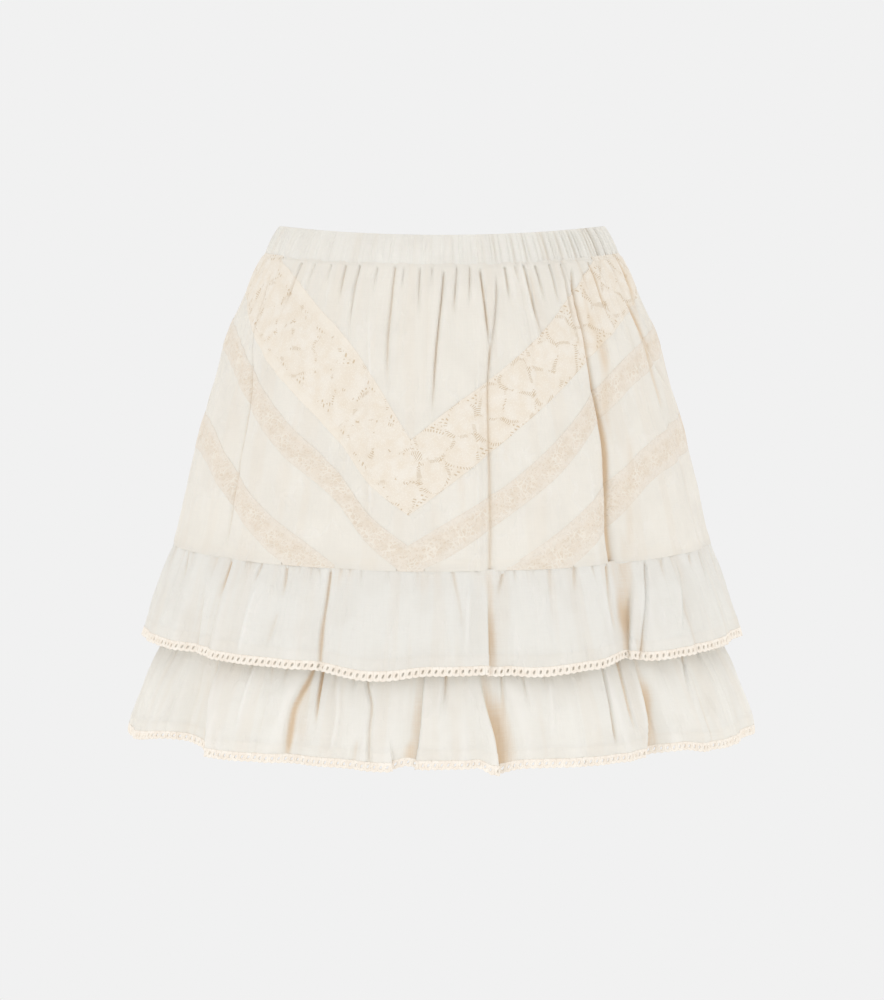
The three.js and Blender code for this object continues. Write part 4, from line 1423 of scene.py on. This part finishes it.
class WideLaceFinish(Finish):
    """Wide insertion lace: domed petals bounded by ladders, with a net of slits along its edges, and painted shade in
    its openings and folds.
    """

    def __init__(self, effects: SharedEffects, lace: PetalLace, tones: LaceColours = LaceColours()) -> None:
        """Builds the finish from the lace's repeat."""
        super().__init__("petal_lace", effects)
        bench = self.bench
        work = self.effect(lace.openwork(), Cloth=self.cloth, Openness=self.mark("openness"))
        thread = self.effect(effects.threads, Cloth=self.cloth, Size=1.1)
        tone = bench.tint(bench.between(thread.outputs["Tone"], 0.4, 0.62), tones.thread, tones.shade)
        lined = bench.tint(bench.sum("MULTIPLY", work.outputs["Line"], 0.5), tone, tones.shade)
        mottled = bench.noise(self.cloth, 0.045, 2.0)
        aged = bench.tint(bench.between(mottled, 0.45, 0.7, 0.0, 0.6), lined, tones.shade)
        crumbs = bench.sum("MULTIPLY", bench.between(bench.noise(self.cloth, 0.9, 1.0), 0.55, 0.68), 0.35)
        netted = bench.tint(crumbs, aged, tones.light)
        # Painted shade: the openings take the dim tone of the skirt's inside seen through them
        hole_shaded = bench.tint(bench.sum("MULTIPLY", work.outputs["Opening"], 0.75), netted, tones.hole)
        # Painted shade in folds from the hollow mark
        painted_shade = self.effect(effects.age, Hollow=self.mark("hollow"), Depth=3.9, Grain=thread.outputs["Tone"])
        soft = bench.tint(self.soft_edge(18.0, 27.0), hole_shaded, tones.edge)
        fold_shaded = bench.tint(bench.sum("MULTIPLY", painted_shade.outputs["PaintedShade"], 0.8), soft, tones.deep)
        bench.join(fold_shaded, self.shader.inputs["Base Color"])
        bench.join(bench.between(thread.outputs["Tone"], 0.3, 0.7, 0.8, 0.92), self.shader.inputs["Roughness"])
        relief = self.bump(work.outputs["Height"], 0.3, 0.5)
        bench.join(self.bump(thread.outputs["Height"], 0.22, 0.6, relief), self.shader.inputs["Normal"])
        open_ = bench.sum("MULTIPLY", work.outputs["Opening"], 0.08)
        bench.join(bench.sum("SUBTRACT", 1.0, open_), self.shader.inputs["Alpha"])
        self.shader.inputs["Sheen Weight"].default_value = 0.1
        bench.join(self.shader.outputs[0], self.output.inputs["Surface"])


class NarrowLaceFinish(Finish):
    """Narrow dense lace: raised scrolls, made paler by painted highlight, on both sides of a stem, with small gaps of
    painted shade between them.
    """

    def __init__(self, effects: SharedEffects, tones: LaceColours = NARROW_TONES) -> None:
        """Builds the finish."""
        super().__init__("leaf_lace", effects)
        bench = self.bench
        apart = bench.add("ShaderNodeSeparateXYZ")
        bench.join(self.cloth, apart.inputs[0])
        along, across = apart.outputs[0], apart.outputs[1]
        side = bench.sum("ABSOLUTE", across)
        bent = bench.noise(self.cloth, 0.16, 2.0)
        moved = bench.vector(bench.sum("ADD", along, bench.sum("MULTIPLY", bent, 5.0)),
                             bench.sum("ADD", across, bench.sum("MULTIPLY", bent, 7.0)))
        petals = bench.add("ShaderNodeTexVoronoi", feature="DISTANCE_TO_EDGE")
        bench.join(moved, petals.inputs["Vector"])
        petals.inputs["Scale"].default_value = 0.30
        scroll = bench.between(petals.outputs["Distance"], 0.03, 0.15, 1.0, 0.0)
        curve = bench.sum("MULTIPLY", bench.sum("SINE", bench.sum("MULTIPLY", along, 2 * math.pi / 24)), 3.4)
        stem = bench.between(bench.sum("ABSOLUTE", bench.sum("SUBTRACT", across, curve)), 0.3, 0.9, 1.0, 0.0)
        edge = bench.between(bench.sum("ABSOLUTE", bench.sum("SUBTRACT", side, 9.2)), 0.2, 0.6, 1.0, 0.0)
        thread = self.effect(effects.threads, Cloth=self.cloth, Size=0.9)
        specks = bench.noise(self.cloth, 0.75, 1.0)
        ground = bench.sum("SUBTRACT", 1.0, scroll)
        gap = bench.sum("MULTIPLY", ground, bench.between(specks, 0.56, 0.64))
        tone = bench.tint(bench.between(thread.outputs["Tone"], 0.4, 0.62), tones.thread, tones.shade)
        patchy = bench.between(bench.noise(self.cloth, 0.09, 1.0), 0.4, 0.6, 0.15, 0.7)
        # Painted highlight: the raised scrolls are made paler in patches
        raised = bench.tint(bench.sum("MULTIPLY", scroll, patchy), tone, tones.light)
        # Painted shade in the small gaps between the scrolls
        gap_shaded = bench.tint(bench.sum("MULTIPLY", gap, 0.4), raised, tones.hole)
        # Painted shade in folds from the hollow mark
        painted_shade = self.effect(effects.age, Hollow=self.mark("hollow"), Depth=3.9, Grain=thread.outputs["Tone"])
        soft = bench.tint(self.soft_edge(3.5, 9.0), gap_shaded, tones.edge)
        fold_shaded = bench.tint(bench.sum("MULTIPLY", painted_shade.outputs["PaintedShade"], 0.8), soft, tones.deep)
        bench.join(fold_shaded, self.shader.inputs["Base Color"])
        bench.join(bench.between(thread.outputs["Tone"], 0.3, 0.7, 0.8, 0.92), self.shader.inputs["Roughness"])
        height = bench.sum("MAXIMUM", bench.sum("MAXIMUM", scroll, stem), edge)
        relief = self.bump(bench.sum("SUBTRACT", height, gap), 0.22, 0.5)
        bench.join(self.bump(thread.outputs["Height"], 0.2, 0.6, relief), self.shader.inputs["Normal"])
        self.shader.inputs["Sheen Weight"].default_value = 0.1
        self.sheer(0.12, tones.through)


class CrochetFinish(Finish):
    """Crocheted cotton: round matt thread with a fine twist."""

    def __init__(self, effects: SharedEffects, tones: LaceColours = CROCHET_TONES) -> None:
        """Builds the finish."""
        super().__init__("crochet_cotton", effects)
        bench = self.bench
        place = bench.add("ShaderNodeTexCoord").outputs["Object"]
        scaled = bench.add("ShaderNodeVectorMath", operation="SCALE")
        bench.join(place, scaled.inputs[0])
        scaled.inputs["Scale"].default_value = 1 / METRE
        thread = self.effect(effects.threads, Cloth=scaled.outputs[0], Size=0.6)
        tone = bench.tint(bench.between(thread.outputs["Tone"], 0.35, 0.65), tones.thread, tones.shade)
        bench.join(tone, self.shader.inputs["Base Color"])
        bench.join(bench.between(thread.outputs["Tone"], 0.3, 0.7, 0.75, 0.9), self.shader.inputs["Roughness"])
        bench.join(self.bump(thread.outputs["Height"], 0.15, 0.7), self.shader.inputs["Normal"])
        self.shader.inputs["Sheen Weight"].default_value = 0.1
        bench.join(self.shader.outputs[0], self.output.inputs["Surface"])


@dataclass
class Finishes:
    """All the skirt's materials."""

    voile: bpy.types.Material
    wide_lace: bpy.types.Material
    narrow_lace: bpy.types.Material
    crochet: bpy.types.Material

    @staticmethod
    def made() -> "Finishes":
        """Builds the shared effects and the four finishes on them."""
        effects = SharedEffects()
        return Finishes(
            VoileFinish(effects).material,
            WideLaceFinish(effects, PETAL_LACE).material,
            NarrowLaceFinish(effects).material,
            CrochetFinish(effects).material,
        )


PETAL_LACE = PetalLace()


# Sub-assemblies


@dataclass(frozen=True)
class Cut:
    """A piece of cloth as it was cut flat, in metres, and how it is held."""

    width: float
    length: float
    held: Held
    rests_on: tuple[str, ...]

    def declare(self, piece: bpy.types.Object) -> None:
        """Logs the piece's name and the cut's size."""
        log.info("%s: cut %.3f x %.3f m", piece.name, self.width, self.length)


@dataclass
class Waistband:
    """The elastic casing: cloth gathered all round, rounded over at its top edge."""

    front_step: float = 0.18
    back_step: float = 0.36
    rows: int = 15
    thickness: float = 1.0
    pucker: float = 1.5
    puckers: int = 176
    layers: float = 0.0
    # Share of the puckers' depth added to the hollow mark as painted shade
    painted_shade: float = 0.5

    def build(self, finishes: Finishes) -> None:
        """Args:
            finishes: The skirt's materials.
        """
        angle = ring_columns(self.front_step, self.back_step)
        z = np.linspace(BAND_TOP, CASING_SEAM, self.rows)
        angle, z = np.meshgrid(angle, z, indexing="ij")
        fine = gather_angles(self.puckers, 2.7)
        own = Tier(UPPER_FORM, BAND_TOP, CASING_SEAM, fine, self.pucker, self.pucker, 1, 0, BAND_CALM)
        up = (z - CASING_SEAM) / (BAND_TOP - CASING_SEAM)
        swell = 1.5 * np.sin(np.pi * np.clip(up, 0, 1)) ** 0.55 - 0.9
        rise = swell - own.gather_depth(angle, z) * np.sin(np.pi * np.clip(up * 0.9 + 0.06, 0, 1)) ** 0.4
        flat_u = BAND_TIER.arc(angle) * 1.5
        grid = ClothGrid(
            BAND_TIER, angle[:-1], z[:-1], True, flat_u, z, rise[:-1], np.full_like(z[:-1], self.layers),
            self.painted_shade * own.gather_depth(angle[:-1], z[:-1]),
        )
        piece = grid.make("waistband_cloth")
        thickened(piece, self.thickness)
        dress(piece, "waistband", finishes.voile)
        Cut(1.1, 0.024, Held.GATHERED, ("body_front_top_panel", "body_back_top_panel")).declare(piece)


class Half(Enum):
    """The two halves of the body, each with its first angle, the V's point and its last angle."""

    FRONT = ("front", -SIDE, FRONT_APEX, SIDE)
    BACK = ("back", SIDE, BACK_APEX, SIDE + FULL_TURN / 2)


@dataclass
class BodyPanels:
    """Half the body: voile pieces right across it, and both arms of each lace."""

    half: Half
    step: float = 0.5
    voile_thickness: float = 0.4
    lace_thickness: float = 0.4
    least: float = 1.2
    hem_band: float = 8.0
    behind: float = 0.5
    allowance: float = 0.7
    pieces: dict[str, bpy.types.Object] = field(default_factory=dict)

    def edge(self, seam: Seam, angle: Array) -> Array:
        """A lace edge held between the waistband and the ruffle seam."""
        return np.clip(seam.height(angle), BODY_BASE, CASING_SEAM)

    def columns_between(self, start: float, end: float, step: float) -> Array:
        """Even columns from one angle to another."""
        return np.linspace(start, end, max(int(round((end - start) / step)), 2) + 1)

    def patch(
        self, name: str, columns: Array, top: Array, base: Array, rows: int, band: tuple[Seam, Seam] | None,
        openness: float = 0.5,
    ) -> bpy.types.Object:
        """Cloth between two edges over a run of columns.

        On a band, the flat coordinates run along its middle line and square to it; elsewhere they
        are the length round the body and the height.

        Args:
            name: The piece's name.
            columns: Its angles.
            top: The height of its top edge at each.
            base: The height of its base edge at each.
            rows: The number of rows.
            band: The two seams of a lace band, or nothing for voile.
            openness: How open a lace is worked.

        Returns:
            The piece.
        """
        tall = np.nonzero(top - base >= self.least)[0]
        keep = slice(tall[0], tall[-1] + 1)
        columns, top, base = columns[keep], top[keep], base[keep]
        if band is None:
            top = np.where(top >= CASING_SEAM, CASING_SEAM + UNDERLAP, top + UNDERLAP)
            base = np.where(base <= BODY_BASE, BODY_BASE - 0.4, base - UNDERLAP)
        else:
            top = np.where(top >= CASING_SEAM - self.least, CASING_SEAM + UNDERLAP, top)
            base = np.where(base <= BODY_BASE + self.least, BODY_BASE - 0.4, base)
        share = np.linspace(0, 1, rows + 1)
        angle = np.repeat(columns[:, None], rows + 1, axis=1)
        z = top[:, None] + (base - top)[:, None] * share
        around = BODY_TIER.arc(angle)
        near_seam = ramp(z, BODY_BASE + self.hem_band + 0.6, BODY_BASE + self.hem_band - 0.6)
        doubled = self.behind + (self.allowance - self.behind) * near_seam
        if band is None:
            flat_u, flat_v = around, z
            rise = 0.2 * near_seam
        else:
            middle = (band[0].height(columns) + band[1].height(columns)) / 2
            line = BODY_TIER.arc(columns)
            slope = np.arctan(np.gradient(middle, line))
            run = np.concatenate(([0], np.cumsum(np.hypot(np.diff(line), np.diff(middle)))))
            off = z - middle[:, None]
            flat_u = run[:, None] + off * np.sin(slope)[:, None]
            flat_v = off * np.cos(slope)[:, None]
            if band[0] is Seam.WIDE_TOP:
                rise = PETAL_LACE.relief(flat_u, flat_v) + 0.2
            else:
                rise = 0.2 + 0.2 * np.clip(1 - (flat_v / 10.5) ** 4, 0, 1)
        rise = rise - 0.7 * ramp(z, CASING_SEAM - 1.6, CASING_SEAM) - 0.2 * ramp(z, BODY_BASE + 1.0, BODY_BASE - 0.4)
        grid = ClothGrid(BODY_TIER, angle, z, False, flat_u, flat_v, rise, doubled)
        piece = grid.make(name)
        if band is not None:
            attribute = piece.data.attributes.new("openness", "FLOAT", "POINT")
            attribute.data.foreach_set("value", np.full(len(piece.data.vertices), openness, np.float32))
        thickened(piece, self.voile_thickness if band is None else self.lace_thickness)
        self.pieces[name] = piece
        return piece

    def cut_of(self, columns: Array, top: Array, base: Array) -> tuple[float, float]:
        """A strip's flat size: the length of its middle line and its mean width square to it.

        Args:
            columns: Angles of its columns.
            top: Heights of its top edge.
            base: Heights of its base edge.

        Returns:
            The strip's width and length in metres.
        """
        tall = top - base >= self.least
        middle = (top[tall] + base[tall]) / 2
        halfway = np.full_like(middle, (BODY_TIER.top + BODY_TIER.base) / 2)
        girth = read_table(UPPER_FORM, 1, middle) / read_table(UPPER_FORM, 1, halfway)
        along = np.diff(BODY_TIER.arc(columns[tall])) * (girth[1:] + girth[:-1]) / 2
        steps = np.hypot(along, np.diff(middle))
        area = float(np.sum(along * ((top - base)[tall][1:] + (top - base)[tall][:-1]) / 2))
        length = float(np.sum(steps))
        return area / length * METRE, length * METRE

    def build(self, finishes: Finishes) -> None:
        """Args:
            finishes: The skirt's materials.
        """
        name, start, apex, end = self.half.value
        def voile(node: str, columns: Array, top: Array, base: Array, rows: int, rests: str) -> None:
            """A voile piece between two edges."""
            piece = self.patch(f"body_{node}", columns, top, base, rows, None)
            dress(piece, node, finishes.voile)
            Cut(*self.cut_of(columns, top, base), Held.HUNG, (rests,)).declare(piece)

        whole = np.concatenate((
            self.columns_between(start, apex, self.step), self.columns_between(apex, end, self.step)[1:],
        ))
        ceiling = np.full_like(whole, CASING_SEAM)
        voile(f"{name}_top_panel", whole, ceiling, self.edge(Seam.WIDE_TOP, whole), 40, "waistband_cloth")
        voile(f"{name}_middle_panel", whole, self.edge(Seam.WIDE_BASE, whole),
              self.edge(Seam.NARROW_TOP, whole), 8, "waistband_cloth")
        arms = (("left", start, apex), ("right", apex, end))
        for arm, first, last in arms:
            fine = self.columns_between(first, last, self.step)
            self.lace(f"{name}_wide_lace_{arm}", fine, Seam.WIDE_TOP, Seam.WIDE_BASE, 40, finishes, Slot.WIDE_LACE,
                      0.25 if arm == "left" else 0.6)
            self.lace(f"{name}_narrow_lace_{arm}", fine, Seam.NARROW_TOP, Seam.NARROW_BASE, 14, finishes,
                      Slot.NARROW_LACE)
            coarse = self.columns_between(first, last, self.step)
            voile(f"{name}_lower_panel_{arm}", coarse, self.edge(Seam.NARROW_BASE, coarse),
                  self.edge(Seam.CORNER_TOP, coarse), 16, "waistband_cloth")
            self.lace(f"{name}_corner_lace_{arm}", fine, Seam.CORNER_TOP, Seam.CORNER_BASE, 12, finishes,
                      Slot.NARROW_LACE)
            floor = np.full_like(coarse, BODY_BASE)
            voile(f"{name}_corner_panel_{arm}", coarse, self.edge(Seam.CORNER_BASE, coarse), floor, 14,
                  "waistband_cloth")

    def lace(
        self, node: str, columns: Array, upper: Seam, lower: Seam, rows: int, finishes: Finishes, slot: Slot,
        openness: float = 0.5,
    ) -> None:
        """One arm of a lace band.

        Args:
            node: The frame's node that it stands for.
            columns: Its angles.
            upper: Its top seam.
            lower: Its base seam.
            rows: The number of rows.
            finishes: The skirt's materials.
            slot: Its material slot.
            openness: How open it is worked.
        """
        top = self.edge(upper, columns)
        base = self.edge(lower, columns)
        piece = self.patch(f"body_{node}", columns, top, base, rows, (upper, lower), openness)
        material = finishes.wide_lace if slot is Slot.WIDE_LACE else finishes.narrow_lace
        dress(piece, node, material)
        Cut(*self.cut_of(columns, top, base), Held.HUNG, ("waistband_cloth",)).declare(piece)


@dataclass
class Ruffle:
    """A gathered strip of voile with a doubled hem, and the crochet edging sewn to it."""

    name: str
    tier: Tier
    hem: float
    edge_base: float
    cut_length: float
    rests_on: str
    front_step: float = 0.22
    back_step: float = 0.42
    rows: int = 20
    thickness: float = 0.5
    hem_band: float = 8.0
    hem_warmth: float = 0.2
    seam_shade: float = 1.0
    seam_reach: float = 30.0

    def heights(self) -> Array:
        """The rows' heights, closer at the gathered seam and at the top of the doubled hem."""
        band = self.hem + self.hem_band
        cloth = self.tier.top + 0.9 + (band + 0.35 - self.tier.top - 0.9) * np.linspace(0, 1, self.rows) ** 1.15
        return np.concatenate((cloth, np.linspace(band - 0.35, self.hem, 4)))

    def build(self, finishes: Finishes) -> None:
        """Args:
            finishes: The skirt's materials.
        """
        turns = ring_columns(self.front_step, self.back_step)
        angle, z = np.meshgrid(turns, self.heights(), indexing="ij")
        band = self.hem + self.hem_band
        doubled = ramp(z, band + 0.36, band - 0.36)
        rise = 0.3 * doubled - 0.45 * ramp(z, self.tier.top - 1.6, self.tier.top + 0.9)
        flat_u = self.tier.arc(angle) * 1.3
        # Painted shade below the gathered seam, added to the hollow mark
        shade = self.seam_shade * ramp(z, self.tier.top - self.seam_reach, self.tier.top)
        warm = self.hem_warmth * doubled
        grid = ClothGrid(self.tier, angle[:-1], z[:-1], True, flat_u, z, rise[:-1], warm[:-1], shade[:-1])
        piece = grid.make(f"{self.name}_ruffle_cloth")
        thickened(piece, self.thickness)
        dress(piece, f"{self.name}_ruffle", finishes.voile)
        edging = CrochetEdge(self.name, self.tier, self.hem, self.edge_base).build(finishes)
        Cut(self.cut_length, (self.tier.top - self.hem) * METRE, Held.GATHERED, (self.rests_on,)).declare(
            piece
        )


@dataclass
class CrochetEdge:
    """Crochet edging: a thick band of slanting stitches round oval holes, with a scalloped lower edge.

    Each stitch is a rectangle as tall as the band with an oval hole. Its corners are shared in
    place with its neighbours', and its surface swells between the hole and the outer edge.
    """

    name: str
    tier: Tier
    hem: float
    base: float
    pitch: float = 4.9
    hole_width: float = 0.78
    hole_height: float = 1.2
    hole_drop: float = 0.1
    slant: float = 0.42
    swell: float = 0.6
    groove: float = 0.3
    back: float = -0.55
    scallop: float = 0.4
    rings: tuple[float, ...] = (0.0, 0.22, 0.5, 0.78, 1.0)

    def places(self) -> tuple[Array, Array]:
        """Where the stitches sit: angles at equal lengths along the folded hem, and degrees for a millimetre.

        Returns:
            The angles and the rate at each.
        """
        z = (self.hem + self.base) / 2
        turns = np.linspace(-FULL_TURN / 2, FULL_TURN / 2, 7201)
        points = self.tier.point(turns, np.full_like(turns, z))
        steps = np.linalg.norm(np.diff(points, axis=0), axis=1)
        run = np.concatenate(([0], np.cumsum(steps)))
        count = int(round(run[-1] / self.pitch))
        angles = np.interp(np.arange(count + 1) * run[-1] / count, run, turns)
        return angles, np.diff(angles) / self.pitch

    def outline(self) -> tuple[Array, Array]:
        """The stitch's outer edge and its hole, point by point, counter-clockwise from the lower right.

        Returns:
            The outer points and the hole's points: shares of the pitch and millimetres of height.
        """
        side = np.linspace(-1, 1, 5)
        across = np.linspace(1, -1, 5)[1:-1]
        x = np.concatenate((np.ones(5), across, -np.ones(5), -across)) / 2
        tall = (self.hem - self.base) / 2
        y = np.concatenate((side, np.ones(3), -side, -np.ones(3))) * tall
        y = y - self.scallop * np.where(y <= -tall, np.cos(2 * np.pi * x), 0)
        turn = np.arctan2(y, x * self.pitch * 1.25)
        height = self.hole_height * np.sin(turn) - self.hole_drop
        hole = np.stack((self.hole_width * np.cos(turn) + self.slant * height, height), axis=-1)
        return np.stack((x * self.pitch, y), axis=-1), hole

    def build(self, finishes: Finishes) -> bpy.types.Object:
        """Makes the edging.

        Args:
            finishes: The skirt's materials.

        Returns:
            The edging's piece.
        """
        angles, rate = self.places()
        outer, hole = self.outline()
        share = np.array(self.rings + (1.0, 0.0))
        front = len(self.rings)
        flat = hole[:, None] + (outer - hole)[:, None] * share[:, None]
        height = self.swell * np.sin(np.pi * (share * 0.86)) ** 0.6 + self.groove * share
        height[front:] = self.back
        middle = (self.hem + self.base) / 2
        start = (angles[:-1] + angles[1:]) / 2
        angle = start[:, None, None] + rate[:, None, None] * flat[..., 0]
        z = np.broadcast_to(middle + flat[..., 1], angle.shape)
        points = self.tier.raised(angle, z, np.broadcast_to(height - 0.1, angle.shape))
        stitches, steps, rings = angle.shape
        index = np.arange(angle.size).reshape(stitches, steps, rings)
        following = np.roll(index, -1, axis=1)
        quads = np.stack((index, np.roll(index, -1, axis=2), np.roll(following, -1, axis=2), following), axis=-1)
        piece = make_piece(f"{self.name}_crochet", points.reshape(-1, 3), quads.reshape(-1, 4), {}, {})
        dress(piece, f"{self.name}_crochet_edge", finishes.crochet)
        return piece


@dataclass
class UnderPanel:
    """The plain voile panel inside the upper ruffle, which carries the lower ruffle."""

    columns: int = 480
    rows: int = 12
    seam_rows: int = 8
    thickness: float = 0.5
    clearance: float = 2.5
    allowance: float = 3.0
    reach: float = 9.0
    seam_step: float = 0.9

    def build(self, finishes: Finishes) -> None:
        """Args:
            finishes: The skirt's materials.
        """
        turns = -FULL_TURN / 2 + FULL_TURN / self.columns * np.arange(self.columns + 1)
        joined = np.linspace(UPPER_TOP + self.allowance, UPPER_TOP - self.reach, self.seam_rows)[:-1]
        heights = np.concatenate((joined, np.linspace(UPPER_TOP - self.reach, UNDER_BASE, self.rows)))
        angle, z = np.meshgrid(turns, heights, indexing="ij")
        apart = read_table(UPPER_FORM, 1, z) - read_table(LOWER_FORM, 1, z)
        ruffle = UPPER_TIER.folded(angle, z)[1]
        own = UNDER_TIER.folded(angle, z)[1]
        rise = -np.maximum(ruffle - apart + self.clearance - own, 0)
        rise = rise * (1 - ramp(z, UNDER_BASE + 14, UNDER_BASE))
        seam = own - np.maximum(BODY_TIER.folded(angle, z)[1], 0) + apart - self.seam_step
        share = ramp(z, UPPER_TOP - self.reach, UPPER_TOP)
        rise = rise * (1 - share) + seam * share
        flat_u = UNDER_TIER.arc(angle)
        plain = np.zeros_like(z[:-1])
        grid = ClothGrid(UNDER_TIER, angle[:-1], z[:-1], True, flat_u, z, rise[:-1], plain)
        piece = grid.make("under_panel_cloth")
        thickened(piece, self.thickness)
        dress(piece, "under_panel", finishes.voile)
        Cut(1.14, (UPPER_TOP - UNDER_BASE) * METRE, Held.HUNG, ("upper_ruffle_cloth",)).declare(piece)


# The studio


@dataclass(frozen=True)
class Studio:
    """A plain pale floor, soft light from the front left, and the camera at the photograph's angle."""

    floor_height: float = -0.95
    floor_size: float = 60.0
    backdrop: float = 0.8796
    sky: float = 0.96
    key_energy: float = 7.8
    fill_energy: float = 7.0

    def build(self) -> None:
        """Makes the floor, the lights and the camera."""
        self.floor()
        self.lights()
        self.camera()

    def floor(self) -> None:
        """Makes the pale floor."""
        half = self.floor_size / 2
        corners = [(-half, -half, self.floor_height), (half, -half, self.floor_height),
                   (half, half, self.floor_height), (-half, half, self.floor_height)]
        mesh = bpy.data.meshes.new("studio_floor")
        mesh.from_pydata(corners, [], [(0, 1, 2, 3)])
        floor = bpy.data.objects.new("studio_floor", mesh)
        bpy.context.scene.collection.objects.link(floor)
        paper = bpy.data.materials.new("studio_paper")
        paper.use_nodes = True
        shader = paper.node_tree.nodes["Principled BSDF"]
        shader.inputs["Base Color"].default_value = (0.0, 0.0, 0.0, 1.0)
        shader.inputs["Roughness"].default_value = 1.0
        shader.inputs["Specular IOR Level"].default_value = 0.0
        shader.inputs["Emission Color"].default_value = (1.0, 1.0, 1.0, 1.0)
        self.shown(paper.node_tree, shader.inputs["Emission Strength"])
        mesh.materials.append(paper)

    def shown(self, tree: bpy.types.NodeTree, strength: bpy.types.NodeSocket) -> None:
        """Shows the camera the backdrop's brightness, while the cloth gets the softer sky's.

        Args:
            tree: The material's or the world's tree.
            strength: The socket that sets its brightness.
        """
        bench = NodeBench(tree)
        seen = bench.add("ShaderNodeLightPath").outputs["Is Camera Ray"]
        extra = bench.sum("MULTIPLY", seen, self.backdrop - self.sky)
        bench.join(bench.sum("ADD", extra, self.sky), strength)

    def lights(self) -> None:
        """Makes the even light all round and the large soft key light."""
        scene = bpy.context.scene
        world = bpy.data.worlds.new("studio_light")
        world.use_nodes = True
        background = world.node_tree.nodes["Background"]
        background.inputs["Color"].default_value = (1.0, 1.0, 1.0, 1.0)
        self.shown(world.node_tree, background.inputs["Strength"])
        scene.world = world
        self.soft_box("key_light", (-1.75, -1.5, -0.6), (0.0, 0.0, -0.3), 1.4, self.key_energy)
        self.soft_box("fill_light", (1.8, -1.4, -0.6), (0.0, 0.0, -0.3), 1.4, self.fill_energy)
        scene.view_settings.view_transform = "Standard"
        scene.view_settings.look = "None"

    def soft_box(self, name: str, place: tuple[float, ...], aim: tuple[float, ...], size: float, energy: float) -> None:
        """One square soft light.

        Args:
            name: The light's name.
            place: Where it stands.
            aim: The point that it faces.
            size: The length of its side.
            energy: Its power in watts.
        """
        lamp = bpy.data.lights.new(name, "AREA")
        lamp.shape = "RECTANGLE"
        lamp.size = size
        lamp.size_y = 0.3
        lamp.energy = energy
        light = bpy.data.objects.new(name, lamp)
        bpy.context.scene.collection.objects.link(light)
        light.visible_camera = False
        light.location = place
        light.rotation_euler = (Vector(aim) - Vector(place)).to_track_quat("-Z", "Y").to_euler()

    def camera(self) -> None:
        """Makes the camera: level with the waist, 2.3 m away, aimed a little down."""
        pitch = math.asin(212.6 / 2300)
        aim = Vector((0.0, 0.0, -0.1998))
        away = 2.3
        eye = bpy.data.cameras.new("photo_camera")
        eye.lens = 106.2
        eye.clip_start = 0.05
        camera = bpy.data.objects.new("photo_camera", eye)
        bpy.context.scene.collection.objects.link(camera)
        camera.location = aim + Vector((0.0, -math.cos(pitch), math.sin(pitch))) * away
        camera.rotation_euler = (math.pi / 2 - pitch, 0.0, 0.0)
        bpy.context.scene.camera = camera


def main() -> None:
    """Builds the skirt from the waist down, then the studio."""
    logging.basicConfig(level=logging.INFO, format="%(message)s")
    finishes = Finishes.made()
    BodyPanels(Half.FRONT, step=0.36).build(finishes)
    BodyPanels(Half.BACK, step=0.55).build(finishes)
    Waistband().build(finishes)
    UnderPanel().build(finishes)
    Ruffle("upper", UPPER_TIER, UPPER_HEM, UPPER_EDGE_BASE, 1.75, "body_front_top_panel").build(finishes)
    Ruffle("lower", LOWER_TIER, LOWER_HEM, LOWER_EDGE_BASE, 1.85, "under_panel_cloth").build(finishes)
    Studio().build()


if __name__ == "__main__":
    main()
